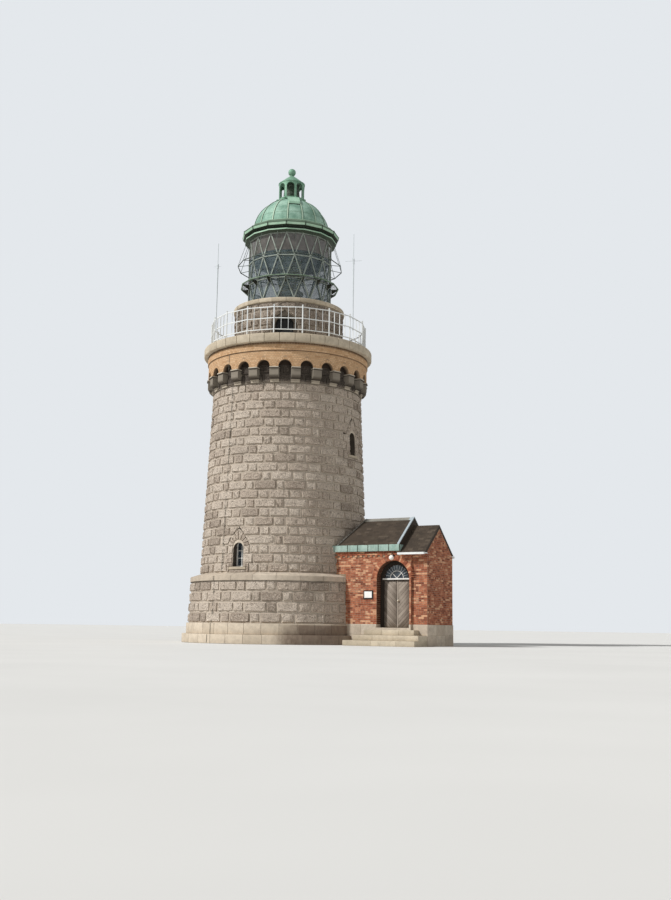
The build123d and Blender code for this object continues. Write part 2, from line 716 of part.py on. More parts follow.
def pane(a, b, c):
    """Triangular sheet of glass between three joints, up to the sides of the bars."""
    normal = (b - a).cross(c - a).normalized()
    centre = (a + b + c) * (1 / 3)
    plane = Plane(origin=centre, x_dir=(b - a).normalized(), z_dir=normal)
    corners = [plane.to_local_coords(p) for p in (a, b, c)]
    face = make_face(Polyline(*[(p.X, p.Y) for p in corners], close=True))
    fold = radians(180 / SIDES)
    margin = BAR_WIDTH / 2 / cos(fold) + GLASS_THICKNESS / 2 * tan(fold) + BED
    inner = offset(face, amount=-margin, kind=Kind.INTERSECTION)
    return extrude(plane * inner, amount=GLASS_THICKNESS / 2, both=True)


def catwalk_deck():
    inner_r = LATTICE_FACE_R + CATWALK_PLAY
    top = DECK_Z + CATWALK_THICKNESS
    inner = polygon_frustum(inner_r, DECK_Z - CUT, inner_r, top + CUT)
    return [polygon_frustum(CATWALK_R, DECK_Z, CATWALK_R, top) - inner]


def catwalk_brackets():
    """Tapered plates under the deck, one at each joint of the glazing bars."""
    inner = LATTICE_FACE_R + BED
    outer = CATWALK_R - BRACKET_INSET
    top = DECK_Z - BED
    outline = [(inner, top), (outer, top), (outer, top - BRACKET_NOSE), (inner, top - BRACKET_DEPTH)]
    plate = radial_plate(outline, BRACKET_THICKNESS)
    pitch = 360 / SIDES
    return [turned(plate, LANTERN_TURN + i * pitch) for i in range(SIDES)]


def catwalk_handrail():
    """Hand ring in straight lengths, with struts from the glazing and hangers from the soffit."""
    pitch = 360 / SIDES
    half = HANDRAIL_SECTION / 2
    play = degrees(JOINT / HANDRAIL_R) / 2
    corners = [(HANDRAIL_R + half, play), (HANDRAIL_R + half, pitch - play),
               (HANDRAIL_R - half, pitch - play), (HANDRAIL_R - half, play)]
    plan = Polyline(*[around(r, 90 + azimuth, HANDRAIL_Z - half) for r, azimuth in corners], close=True)
    rail = extrude(make_face(plan), amount=HANDRAIL_SECTION, dir=(0, 0, 1))
    s = STRUT_WIDTH / 2
    near, far = LATTICE_FACE_R + BED, HANDRAIL_R - half - BED
    strut = radial_plate([(near, RING_LEVELS[2] - s), (far, HANDRAIL_Z - s), (far, HANDRAIL_Z + s),
                          (near, RING_LEVELS[2] + s)], STRUT_WIDTH)
    h = HANGER_WIDTH / 2
    foot, head = HANDRAIL_Z + half + BED, LANTERN_TOP + SOFFIT_RISE / 2
    head_r = SOFFIT_R - HANGER_INSET
    hanger = radial_plate([(HANDRAIL_R - h, foot), (HANDRAIL_R + h, foot), (head_r + h, head),
                           (head_r - h, head)], HANGER_WIDTH)
    soffit = polygon_frustum(GLAZING_R + SOFFIT_INNER_PROUD, LANTERN_TOP - BED, SOFFIT_R,
                             LANTERN_TOP + SOFFIT_RISE - BED)
    solids = []
    for i in range(SIDES):
        azimuth = LANTERN_TURN + pitch * (i + 0.5)
        solids += [turned(rail, azimuth), turned(strut, azimuth), turned(hanger, azimuth) - soffit]
    return solids


def lantern_cornice():
    """Sloping soffit, thin lip, deep recess, gutter and the apron up to the dome."""
    knee_r, knee_z = GUTTER_R - APRON_KNEE_INSET, APRON_Z + APRON_KNEE_RISE
    stack = polygon_frustum(GLAZING_R + SOFFIT_INNER_PROUD, LANTERN_TOP, SOFFIT_R, LANTERN_TOP + SOFFIT_RISE)
    stack += polygon_frustum(SOFFIT_R, LANTERN_TOP + SOFFIT_RISE, SOFFIT_R, RECESS_Z)
    stack += polygon_frustum(RECESS_R, RECESS_Z, RECESS_R, GUTTER_Z)
    stack += polygon_frustum(GUTTER_R - GUTTER_TAPER, GUTTER_Z, GUTTER_R, APRON_Z)
    stack += polygon_frustum(GUTTER_R - APRON_FOOT_INSET, APRON_Z, knee_r, knee_z)
    stack += polygon_frustum(knee_r, knee_z, DOME_R + DOME_SEAT, DOME_Z)
    return [stack - column(CORNICE_INNER_R, LANTERN_TOP - CUT, DOME_Z + CUT)]


def dome_outline(outset):
    """Dome's arc, moved square to itself by an outset, as three points."""
    rise, shoulder = DOME_RISE, DOME_SHOULDER_RISE
    shoulder_r = DOME_SHOULDER_R + outset * DOME_SHOULDER_OUT
    shoulder_z = DOME_Z + shoulder + outset * DOME_SHOULDER_UP
    return (DOME_R + outset, DOME_Z), (shoulder_r, shoulder_z), (VENT_R, DOME_Z + rise + outset)


def dome_shell(outset, thickness):
    outer, inner = dome_outline(outset), dome_outline(outset - thickness)
    arc_out = ThreePointArc(*outer)
    arc_in = ThreePointArc(*inner)
    low = Line(outer[0], inner[0])
    high = Line(outer[2], inner[2])
    return make_face(Plane.XZ * (Curve() + [arc_out, arc_in, low, high]))


def dome():
    """Copper panels in two tiers, with their open seams under the battens."""
    shell = dome_shell(0, DOME_THICKNESS)
    seam = DOME_Z + DOME_SEAM_RISE
    pitch = 360 / SIDES
    play = degrees(JOINT / DOME_R)
    solids = []
    for low, high in ((0, seam - JOINT / 2), (seam + JOINT / 2, CAP_Z)):
        tier = shell & (Plane.XZ * Pos(0, (low + high) / 2) * Rectangle(3 * DOME_R, high - low))
        panel = revolve(tier, Axis.Z, revolution_arc=pitch - play)
        solids += [turned(panel, LANTERN_TURN + i * pitch + play / 2) for i in range(SIDES)]
    return solids


def dome_battens():
    """Raised roll over each upright seam of the dome."""
    batten = extrude(dome_shell(BATTEN_PROUD, BATTEN_PROUD - BED), amount=BATTEN_WIDTH / 2, both=True)
    pitch = 360 / SIDES
    return [turned(batten, LANTERN_TURN + i * pitch) for i in range(SIDES)]


def roof_hatch():
    """Raised cover on one panel of the dome, high up beside the ventilator."""
    half = HATCH_WIDTH / 2
    slab = extrude(dome_shell(HATCH_PROUD, HATCH_PROUD - BED), amount=half, both=True)
    near = VENT_R + HATCH_GAP
    azimuth = LANTERN_TURN + (HATCH_PANEL + 0.5) * 360 / SIDES
    hatch = turned(slab & box(near, near + HATCH_LENGTH, -half, half, DOME_Z, CAP_Z), azimuth)
    for batten in dome_battens():
        hatch -= batten
    return [hatch.solids().sort_by(SortBy.VOLUME)[-1]]


def ventilator():
    """Round drum with its arched openings and a floor."""
    wall = column(VENT_R, VENT_Z, CAP_Z) - column(VENT_R - VENT_WALL, VENT_Z + VENT_FLOOR, CAP_Z)
    pitch = 360 / VENT_OPENINGS
    foot = VENT_Z + VENT_OPENING_FOOT
    for i in range(VENT_OPENINGS):
        azimuth = LANTERN_TURN + pitch * (i + 0.5)
        wall -= arch_prism(VENT_OPENING_WIDTH, foot, foot + VENT_OPENING_HEIGHT, azimuth,
                           VENT_R - VENT_WALL - CUT, VENT_R + CUT)
    return [wall]


def finial():
    """Bell-shaped cap with a ball on a short neck."""
    rim_r, rim_z = VENT_R + CAP_RIM_PROUD, CAP_Z + CAP_RIM_HEIGHT
    top = CAP_Z + CAP_HEIGHT
    neck_z = top + NECK_HEIGHT
    rim = Polyline((0, CAP_Z), (rim_r, CAP_Z), (rim_r, rim_z), (VENT_R, rim_z))
    bell = ThreePointArc((VENT_R, rim_z), (CAP_SHOULDER_R, CAP_Z + CAP_SHOULDER_RISE), (CAP_TOP_R, top))
    neck = Polyline((CAP_TOP_R, top), (NECK_R, top + NECK_FLARE), (NECK_R, neck_z), (0, neck_z), (0, CAP_Z))
    body = revolve(make_face(Plane.XZ * (Curve() + [rim, bell, neck])), Axis.Z)
    return [body + Pos(0, 0, neck_z + BALL_R - BALL_SEAT) * Sphere(BALL_R)]


def optic_pedestal():
    top = CURB_TOP + PEDESTAL_HEIGHT
    pedestal = column(PEDESTAL_R, CURB_TOP, CURB_TOP + PEDESTAL_FOOT)
    pedestal += column(PEDESTAL_COLUMN_R, CURB_TOP, top)
    return [pedestal + column(LENS_R, top - TABLE_THICKNESS, top)]


def optic_lens():
    """Barrel of stacked prism rings, widest at the lens belt."""
    foot = CURB_TOP + PEDESTAL_HEIGHT
    step = LENS_HEIGHT / LENS_STEPS

    def barrel(height):
        return LENS_R * (1 - LENS_END_DROP * (2 * height / LENS_HEIGHT - 1) ** 2)

    points = [(LENS_INNER_R, foot), (LENS_GROOVE * barrel(0), foot)]
    for index in range(LENS_STEPS):
        crest = step * (index + 0.5)
        groove = step * (index + 1)
        points.append((barrel(crest), foot + crest))
        points.append((LENS_GROOVE * barrel(groove), foot + groove))
    points.append((LENS_INNER_R, foot + LENS_HEIGHT))
    return [revolve(make_face(Plane.XZ * Polyline(*points, close=True)), Axis.Z)]


def aerials():
    """Two whip aerials strapped to the outside of the railing's straight bays."""
    solids = []
    half_pitch = 180 / POST_COUNT
    bay_r = RAIL_R * cos(radians(half_pitch)) + RAIL_DEPTH / 2 + AERIAL_RADIUS + BED
    for azimuth, joint, top in zip(AERIAL_AZIMUTHS, AERIAL_JOINTS, AERIAL_TOPS):
        from_bay_middle = (azimuth - RAIL_TURN) % (2 * half_pitch) - half_pitch
        foot = around(bay_r / cos(radians(from_bay_middle)), azimuth, GALLERY_Z)
        mast = column(AERIAL_RADIUS, GALLERY_Z + AERIAL_START, GALLERY_Z + joint, foot.X, foot.Y)
        mast += column(AERIAL_TIP_RADIUS, GALLERY_Z + joint, GALLERY_Z + top, foot.X, foot.Y)
        solids.append(mast)
    return solids


def lightning_conductor():
    """Copper strap down the outside of the masonry, one length for each face."""
    faces = [
        (lambda z: ARCADE_R, ARCADE_TOP, SPRING_Z),
        (shaft_radius, SHAFT_TOP, BELT_TOP),
        (lambda z: BELT_R, BELT_FACE_TOP, PLINTH_TOP),
        (plinth_radius, PLINTH_TOP, BASE_TOP),
        (lambda z: BASE_R, BASE_TOP, FOOTING_TOP),
        (lambda z: FOOTING_R, FOOTING_TOP, 0.0),
    ]
    solids = []
    for radius, top, foot in faces:
        upper, lower = top - CONDUCTOR_GAP, foot + CONDUCTOR_GAP
        solids.append(strap((radius(upper), upper), (radius(lower), lower)))
    return solids


def strap(upper, lower):
    """One flat length against a face, its corners as (radius, height)."""
    t = CONDUCTOR_THICKNESS
    outline = [(upper[0] + BED, upper[1]), (upper[0] + t, upper[1]), (lower[0] + t, lower[1]),
               (lower[0] + BED, lower[1])]
    return turned(radial_plate(outline, CONDUCTOR_WIDTH), CONDUCTOR_AZIMUTH)


DOORWAY_LEFT = DOORWAY_CENTRE - DOORWAY_WIDTH / 2
DOORWAY_RIGHT = DOORWAY_CENTRE + DOORWAY_WIDTH / 2
FRONT_INNER = WING_FRONT + FRONT_THICKNESS
BACK_INNER = WING_BACK - BACK_THICKNESS
PARTY_INNER = WING_END - PARTY_THICKNESS


def clear_of_tower(solid):
    return (solid - tower_envelope(BED)).solids().sort_by(SortBy.VOLUME)[-1]


def under_strip(solid):
    """What stands under the lower roof strip, cut down to its height."""
    return solid - box(VERGE, WING_END + CUT, -2 * WING_BACK, 2 * WING_BACK, STRIP_WALL_TOP, WALL_TOP + CUT)


def entrance_plinth():
    """Granite courses that carry the wing's brick walls down to the lowest ground."""
    front = WING_FRONT - STONE_PLINTH_PROUD
    back = WING_BACK + STONE_PLINTH_PROUD
    end = WING_END + STONE_PLINTH_PROUD
    top = STONE_PLINTH_TOP
    g = JOINT / 2
    setback = front + PIER_SETBACK
    return [
        clear_of_tower(box(WING_ROOT, DOORWAY_LEFT - g, front, FRONT_INNER, 0, top)),
        box(DOORWAY_LEFT + g, DOORWAY_RIGHT - g, front, FRONT_INNER, 0, STEP_TOPS[0]),
        box(DOORWAY_RIGHT + g, PIER_SETBACK_START, front, FRONT_INNER, 0, top)
        + box(PIER_SETBACK_START, end, setback, FRONT_INNER, 0, top),
        box(PARTY_INNER, end, FRONT_INNER + g, BACK_INNER - g, 0, top),
        clear_of_tower(box(WING_ROOT, end, BACK_INNER, back, 0, top)),
    ]


def front_wall():
    top = WALL_TOP
    low = STONE_PLINTH_TOP
    g = JOINT / 2
    left = clear_of_tower(box(WING_ROOT, DOORWAY_LEFT - g, WING_FRONT, FRONT_INNER, low, top))
    right = box(DOORWAY_RIGHT + g, PIER_SETBACK_START, WING_FRONT, FRONT_INNER, low, top)
    right += box(PIER_SETBACK_START, WING_END, WING_FRONT + PIER_SETBACK, FRONT_INNER, low, top)
    return [left, under_strip(right)]


def front_arch():
    """Brick over the doorway, with the round arch cut through."""
    radius = DOORWAY_WIDTH / 2 - JOINT / 2
    spring = DOORWAY_CROWN - DOORWAY_WIDTH / 2
    panel = box(DOORWAY_LEFT, DOORWAY_RIGHT, WING_FRONT, FRONT_INNER, spring, WALL_TOP)
    axis = Pos(DOORWAY_CENTRE, (WING_FRONT + FRONT_INNER) / 2, spring) * Rot(90, 0, 0)
    return [under_strip(panel - axis * Cylinder(radius, FRONT_THICKNESS + CUT))]


def back_wall():
    wall = box(WING_ROOT, WING_END, BACK_INNER, WING_BACK, STONE_PLINTH_TOP, WALL_TOP)
    return [under_strip(clear_of_tower(wall))]


def party_wall():
    """Plain end wall that runs up under the roof strip."""
    g = JOINT / 2
    front, back = FRONT_INNER + g, BACK_INNER - g
    lower = box(PARTY_INNER, WING_END, front, back, STONE_PLINTH_TOP, STRIP_EAVES)
    under_roof = roof_void(PARTY_INNER, WING_END, STRIP_EAVES, ROOF_DROP + BED)
    gable = under_roof & box(PARTY_INNER, WING_END, front, back, STRIP_EAVES, STRIP_EAVES + WING_END)
    return [lower + gable]


def passage_floor():
    slab = box(WING_ROOT, PARTY_INNER, FRONT_INNER, BACK_INNER, FOOTING_TOP, PASSAGE_FLOOR_TOP)
    return [clear_of_tower(slab)]


def roof_void(x0, x1, eaves_z, drop):
    """Triangular prism under the roof line, lowered by a drop."""
    reach = WING_BACK + EAVES_OVERHANG
    ridge = eaves_z + reach * SLOPE - drop
    foot = reach - drop / SLOPE
    outline = Polyline((-foot, eaves_z), (foot, eaves_z), (0, ridge), close=True)
    prism = Plane(origin=(x0, 0, 0), x_dir=(0, 1, 0), z_dir=(1, 0, 0)) * make_face(outline)
    return extrude(prism, amount=x1 - x0)


def hip_cut(shift):
    """Everything on the tower's side of the hip slope."""
    rise = (WING_BACK + EAVES_OVERHANG) * SLOPE
    lean = HIP_RUN / rise
    foot = RIDGE_START - HIP_RUN + shift
    low, high = EAVES_TOP - CUT, EAVES_TOP + rise + CUT
    outline = [(0, low), (foot - lean * CUT, low), (foot + lean * (rise + CUT), high), (0, high)]
    return radial_plate(outline, 4 * WING_BACK)


def roof_slopes():
    """Slated roof, hipped towards the tower, closed at its verge and hollow underneath."""
    outer = roof_void(WING_ROOT, VERGE, EAVES_TOP, 0) - hip_cut(0)
    inner = roof_void(WING_ROOT - CUT, VERGE - ROOF_THICKNESS, EAVES_TOP - BED, ROOF_DROP)
    inner -= hip_cut(ROOF_THICKNESS)
    return [clear_of_tower(outer - inner)]


def wing_roof_strip():
    """Lower strip of the neighbouring roof, up to the party wall."""
    outer = roof_void(VERGE + JOINT / 2, WING_END, STRIP_EAVES, 0)
    return [outer - roof_void(VERGE - CUT, WING_END + CUT, STRIP_EAVES - BED, ROOF_DROP)]


def eaves_fascia():
    """Boxed copper eaves, front and back."""
    edge = WING_BACK + EAVES_OVERHANG
    front = box(WING_ROOT, VERGE, -edge, EAVES_DEPTH - edge, WALL_TOP, EAVES_TOP)
    back = box(WING_ROOT, VERGE, edge - EAVES_DEPTH, edge, WALL_TOP, EAVES_TOP)
    return [clear_of_tower(front), clear_of_tower(back)]


def eaves_gutter():
    """White gutter on its board along the lower roof strip, front and back."""
    edge = WING_BACK + EAVES_OVERHANG
    low = STRIP_EAVES - GUTTER_SIZE
    board = box(VERGE + JOINT / 2, WING_END, edge - EAVES_DEPTH, edge, STRIP_WALL_TOP, STRIP_EAVES)
    lip = box(VERGE - GUTTER_LAP, WING_END, edge + BED, edge + GUTTER_DEPTH, low, STRIP_EAVES)
    channel = box(VERGE + JOINT / 2, WING_END, edge, edge + GUTTER_DEPTH, low, STRIP_EAVES)
    back = board + channel + lip
    return [mirror(back, Plane.XZ), back]


def roof_flashings():
    """Upstand along the verge and the cap along the ridge."""
    reach = WING_BACK + EAVES_OVERHANG
    peak = EAVES_TOP + reach * SLOPE + CUT
    inner = VERGE - FLASHING_WIDTH
    verge = roof_void(inner, VERGE, EAVES_TOP, -FLASHING_PROUD)
    verge &= box(inner, VERGE, -reach, reach, EAVES_TOP, peak)
    verge -= roof_void(inner - CUT, VERGE + CUT, EAVES_TOP, 0)
    cap = roof_void(RIDGE_START, inner - BED, EAVES_TOP, -FLASHING_PROUD / 2)
    cap &= box(RIDGE_START, inner - BED, -RIDGE_CAP_HALF, RIDGE_CAP_HALF, EAVES_TOP, peak)
    cap -= roof_void(RIDGE_START - CUT, VERGE, EAVES_TOP, 0)
    return list(verge.solids()) + list(cap.solids())


def frame_slab(face, y_front, depth):
    """Upright (x, height) face given a depth from its front towards the back."""
    plane = Plane(origin=(DOORWAY_CENTRE, y_front, 0), x_dir=(1, 0, 0), z_dir=(0, -1, 0))
    return extrude(plane * face, amount=-depth)


def fanlight_face(radius, low):
    """Half round over the transom, cut off at a level."""
    centre = DOOR_TOP + TRANSOM_HEIGHT
    return (Pos(0, centre) * Circle(radius)) & (Pos(0, low + radius) * Rectangle(2 * radius, 2 * radius))


def door_frame():
    """Round-headed frame with its transom, and the plates that carry the hinges."""
    half = DOOR_WIDTH / 2
    face = arch_face(DOORWAY_WIDTH - JOINT - 2 * BED, THRESHOLD_TOP, DOORWAY_CROWN - JOINT / 2 - BED)
    face -= Pos(0, DOOR_TOP / 2) * Rectangle(DOOR_WIDTH, DOOR_TOP)
    face -= fanlight_face(FANLIGHT_R, DOOR_TOP + TRANSOM_HEIGHT)
    frame = frame_slab(face, DOOR_FACE, DOOR_FRAME_DEPTH)
    back = DOOR_FACE + DOOR_FRAME_DEPTH
    for side in (-1, 1):
        near = DOORWAY_CENTRE + side * (half - LEAF_CLEARANCE + BED)
        far = DOORWAY_CENTRE + side * (half + HINGE_PLATE)
        for z in hinge_levels():
            frame += box(min(near, far), max(near, far), back, back + 2 * HINGE_PIN_SETBACK,
                         z - HINGE_LENGTH / 2, z + HINGE_LENGTH / 2)
    return [frame]


def fanlight():
    """Sheet of glass behind the round head of the frame."""
    face = fanlight_face(FANLIGHT_R - BED, DOOR_TOP + TRANSOM_HEIGHT + BED)
    return [frame_slab(face, DOOR_FACE + DOOR_FRAME_DEPTH / 2, PANE_THICKNESS)]


def door_threshold():
    g = JOINT / 2
    return [box(DOORWAY_LEFT + g, DOORWAY_RIGHT - g, WING_FRONT - STONE_PLINTH_PROUD, FRONT_INNER,
                STEP_TOPS[0], THRESHOLD_TOP)]


def hinge_levels():
    low = THRESHOLD_TOP + LEAF_CLEARANCE
    high = DOOR_TOP - LEAF_CLEARANCE
    return (low + HINGE_INSET, (low + high) / 2, high - HINGE_INSET)


def door_leaf(side):
    """One leaf of the double door: side -1 is the left one, +1 the right one."""
    half = DOOR_WIDTH / 2
    back = DOOR_FACE + DOOR_FRAME_DEPTH
    front = back - LEAF_THICKNESS
    outer = DOORWAY_CENTRE + side * (half - LEAF_CLEARANCE)
    inner = DOORWAY_CENTRE + side * LEAF_CLEARANCE / 2
    low = THRESHOLD_TOP + LEAF_CLEARANCE
    leaf = box(min(outer, inner), max(outer, inner), front, back, low, DOOR_TOP - LEAF_CLEARANCE)
    pin_x = outer - side * HINGE_RADIUS
    pin_y = back + HINGE_PIN_SETBACK
    for z in hinge_levels():
        leaf += column(HINGE_RADIUS, z - HINGE_LENGTH / 2, z + HINGE_LENGTH / 2, pin_x, pin_y)
    if side > 0:
        knob = Pos(inner + KNOB_INSET, front, low + KNOB_HEIGHT) * Rot(90, 0, 0)
        leaf += knob * Cylinder(SPINDLE_RADIUS, KNOB_REACH, align=(Align.CENTER, Align.CENTER, Align.MIN))
        leaf += knob * Pos(0, 0, KNOB_REACH) * Sphere(KNOB_RADIUS)
    return [leaf]


def entrance_steps():
    """Three granite steps that return at their left end."""
    face = WING_FRONT - STONE_PLINTH_PROUD
    flight = Part()
    for index, (top, below) in enumerate(zip(STEP_TOPS, STEP_TOPS[1:] + (0.0,))):
        left = STEP_LEFT - index * STEP_SIDE_TREAD
        right = STEP_RIGHT if index == 0 else WING_END
        flight += box(left, right, face - STEP_TREAD * (index + 1), face - BED, below, top)
    return [clear_of_tower(flight)]


def entrance_lamp():
    """Globe on a short arm from a wall plate over the door."""
    toward_front = Pos(LAMP_X, WING_FRONT - BED, LAMP_Z + LAMP_ARM_RISE) * Rot(90, 0, 0)
    base = (Align.CENTER, Align.CENTER, Align.MIN)
    lamp = toward_front * Cylinder(LAMP_ARM_R, LAMP_REACH, align=base)
    lamp += toward_front * Cylinder(LAMP_PLATE_R, LAMP_PLATE_THICKNESS, align=base)
    return [lamp + Pos(LAMP_X, WING_FRONT - LAMP_REACH, LAMP_Z) * Sphere(LAMP_RADIUS)]


def notice_board():
    """Bare board in a raised frame."""
    half, rise, frame = NOTICE_WIDTH / 2, NOTICE_HEIGHT / 2, NOTICE_FRAME
    front = WING_FRONT - NOTICE_DEPTH
    board = box(NOTICE_X - half, NOTICE_X + half, front, WING_FRONT, NOTICE_Z - rise, NOTICE_Z + rise)
    sunk = box(NOTICE_X - half + frame, NOTICE_X + half - frame, front - CUT, front + NOTICE_RECESS,
               NOTICE_Z - rise + frame, NOTICE_Z + rise - frame)
    return [board - sunk]


NODES = {
    "footing": footing,
    "base_course": base_course,
    "plinth_wall": plinth_wall,
    "belt_course": belt_course,
    "shaft_wall": shaft_wall,
    "tower_floors": tower_floors,
    "window_surrounds": window_surrounds,
    "window_frames": window_frames,
    "window_glass": window_glass,
    "corbels": corbels,
    "brick_arcade": brick_arcade,
    "gallery_coping": gallery_coping,
    "gallery_railing": railing_bays,
    "drum_wall": drum_wall,
    "gallery_door": gallery_door,
    "drum_curb": drum_curb,
    "lantern_sill": lantern_sill,
    "lantern_lattice": lantern_lattice,
    "lantern_glass": lantern_glass,
    "catwalk_deck": catwalk_deck,
    "catwalk_brackets": catwalk_brackets,
    "catwalk_handrail": catwalk_handrail,
    "lantern_cornice": lantern_cornice,
    "dome": dome,
    "dome_battens": dome_battens,
    "roof_hatch": roof_hatch,
    "ventilator": ventilator,
    "finial": finial,
    "optic_pedestal": optic_pedestal,
    "optic_lens": optic_lens,
    "aerials": aerials,
    "lightning_conductor": lightning_conductor,
    "entrance_plinth": entrance_plinth,
    "front_wall": front_wall,
    "front_arch": front_arch,
    "back_wall": back_wall,
    "party_wall": party_wall,
    "passage_floor": passage_floor,
    "roof_slopes": roof_slopes,
    "wing_roof_strip": wing_roof_strip,
    "eaves_fascia": eaves_fascia,
    "eaves_gutter": eaves_gutter,
    "roof_flashings": roof_flashings,
    "door_frame": door_frame,
    "door_threshold": door_threshold,
    "door_leaf_left": lambda: door_leaf(-1),
    "door_leaf_right": lambda: door_leaf(1),
    "fanlight": fanlight,
    "entrance_steps": entrance_steps,
    "entrance_lamp": entrance_lamp,
    "notice_board": notice_board,
}

os.makedirs("parts", exist_ok=True)
for node, make in NODES.items():
    solids = []
    for shape in make():
        solids.extend(shape.solids())
    export_step(Compound(children=solids), f"parts/{node}.step")
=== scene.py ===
"""Granite lighthouse: stones, bricks, slates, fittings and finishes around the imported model."""
from collections import namedtuple
from math import cos, hypot, pi, radians, sin, sqrt, tan

import bpy
import numpy as np
from bpy.props import FloatProperty, FloatVectorProperty, IntProperty, PointerProperty
from mathutils import Matrix, Vector


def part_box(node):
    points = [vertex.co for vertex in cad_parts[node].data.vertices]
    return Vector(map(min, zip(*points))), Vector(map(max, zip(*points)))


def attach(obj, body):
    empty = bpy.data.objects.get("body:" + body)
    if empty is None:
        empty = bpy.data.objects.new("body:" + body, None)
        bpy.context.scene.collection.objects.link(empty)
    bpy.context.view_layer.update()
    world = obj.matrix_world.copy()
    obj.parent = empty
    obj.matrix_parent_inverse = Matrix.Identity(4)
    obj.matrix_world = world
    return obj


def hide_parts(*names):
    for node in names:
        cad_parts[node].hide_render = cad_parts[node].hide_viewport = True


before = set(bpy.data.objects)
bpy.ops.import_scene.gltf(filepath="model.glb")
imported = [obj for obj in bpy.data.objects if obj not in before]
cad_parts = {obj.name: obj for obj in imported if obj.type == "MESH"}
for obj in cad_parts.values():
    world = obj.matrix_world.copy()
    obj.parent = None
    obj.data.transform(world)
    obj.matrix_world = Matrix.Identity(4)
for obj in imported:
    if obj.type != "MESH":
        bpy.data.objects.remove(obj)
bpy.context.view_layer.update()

bl_info = {
    "name": "Granite Lighthouse",
    "version": (1, 0, 0),
    "blender": (4, 5, 0),
    "location": "View3D > Sidebar > Lighthouse",
    "description": "Dresses the lighthouse with its stones, bricks, slates, fittings and finishes",
    "category": "Object",
}

# Tower, in metres, as in the part's source
BELT_TOP = 2.82
COURSE, COURSES = 0.372, 21
SHAFT_TOP = BELT_TOP + COURSE * COURSES
SHAFT_FOOT_R, SHAFT_HEAD_R = 3.517, 3.181
BASE_TOP, BASE_R = 0.808, 4.076
FOOTING_R, FOOTING_TOP = 4.25, 0.36
PLINTH_FOOT_R, PLINTH_HEAD_R, PLINTH_TOP, PLINTH_ROWS = 3.97, 3.895, 2.485, 4
BELT_R, BELT_FACE_TOP = 3.96, 2.68
SPRING_Z = SHAFT_TOP + 0.615
ARCADE_R, ARCADE_TOP = 3.485, SHAFT_TOP + 1.31
IMPOST_FOOT, ROLL_TOP, ROLL_FOOT = SPRING_Z - 0.055, SPRING_Z - 0.3, SPRING_Z - 0.465
RECESS_R, RECESS_ROWS = 3.218, 2
BAND_R, BAND_TOP = 3.525, ARCADE_TOP + 0.331
COPING_R, COPING_INNER_R, COPING_HEIGHT = 3.7, 3.0, 0.377
GALLERY_Z = BAND_TOP + COPING_HEIGHT
DRUM_R, DRUM_TOP, DRUM_ROWS = 2.35, GALLERY_Z + 1.696, 5
CURB_R, CURB_INNER_R, CURB_HEIGHT = 2.46, 2.05, 0.196
CURB_TOP = DRUM_TOP + CURB_HEIGHT
ARCHES, ARCH_R, ARCH_CENTRE_Z = 24, 0.275, SPRING_Z + 0.025
GALLERY_DOOR_AZIMUTH, GALLERY_DOOR_HALF, GALLERY_DOOR_SPRING = 27.3, 0.41, 0.67
WINDOW_HALF, WINDOW_HEIGHT, WINDOW_PEAK = 0.25, 1.09, 0.44
WINDOWS = ((0, 3.05), (90, 7.865), (180, 3.05), (270, 7.865))
SILL_HEIGHT, SILL_HALF = 0.115, 0.4
LONG_QUOIN, HEAD_HALF, HEAD_SWELL = 0.68, 0.51, 1.3
LONG_STONE = 0.62

# Walls of the tower, each from a (radius, height) at its foot to one at its head
SHAFT_WALL = ((SHAFT_FOOT_R, BELT_TOP), (SHAFT_HEAD_R, SHAFT_TOP))
RECESS_WALL = ((RECESS_R, SHAFT_TOP), (RECESS_R, SHAFT_TOP + RECESS_ROWS * COURSE))
PLINTH_WALL = ((PLINTH_FOOT_R, BASE_TOP), (PLINTH_HEAD_R, PLINTH_TOP))
DRUM_WALL = ((DRUM_R, GALLERY_Z), (DRUM_R, DRUM_TOP))

# Entrance wing
WING_FRONT, WING_BACK, WING_END = -1.28, 1.28, 7.3
PIER_X, PIER_SETBACK = 6.65, 0.11
STONE_TOP, STONE_PROUD, WALL_TOP, EAVES_TOP = 0.835, 0.02, 3.7, 3.955
DOOR_X, DOOR_HALF, DOOR_SPRING, DOOR_RING = 5.86, 0.71, 2.62, 0.225
DOOR_FACE, LEAF_FRONT, FANLIGHT_Z = -0.94, -0.885, 2.646
LEAF_FOOT, LEAF_HEAD, LEAF_HALF = 0.711, 2.57, 0.562
EAVES_REACH, STRIP_DROP, VERGE = 1.41, 0.335, 6.2
STRIP_EAVES = EAVES_TOP - STRIP_DROP
STRIP_WALL_TOP = STRIP_EAVES - 0.04
SLOPE = radians(39.7)
ROOF_RISE = EAVES_REACH * tan(SLOPE)
RIDGE_X, HIP_RUN = 3.99, 0.56
DENTIL_ROW, DENTIL_WIDTH = 0.075, 0.11
STEP_TOPS, STEP_DEPTH, STEP_LEFT, TOP_STEP_RIGHT = (0.62, 0.415, 0.21, 0.0), 0.35, 4.78, 6.95
GABLE_PEAK, GABLE_FRONT, GABLE_BACK = STRIP_EAVES + ROOF_RISE - 0.16, -1.165, 1.27
GABLE_CORNERS = ((GABLE_FRONT, -0.7), (0.88, 1.24))
LAMP_X, LAMP_Z, LAMP_R, LAMP_REACH = 5.893, 3.422, 0.1, 0.21
NOTICE_X, NOTICE_Z = 4.785, 1.99

# Fittings of the tower; the railing has straight bays, whose half is an angle in degrees
CONDUCTOR_AZIMUTH = -13
RAIL_R, RAIL_TURN, HALF_BAY = 3.42, 1.5, 10

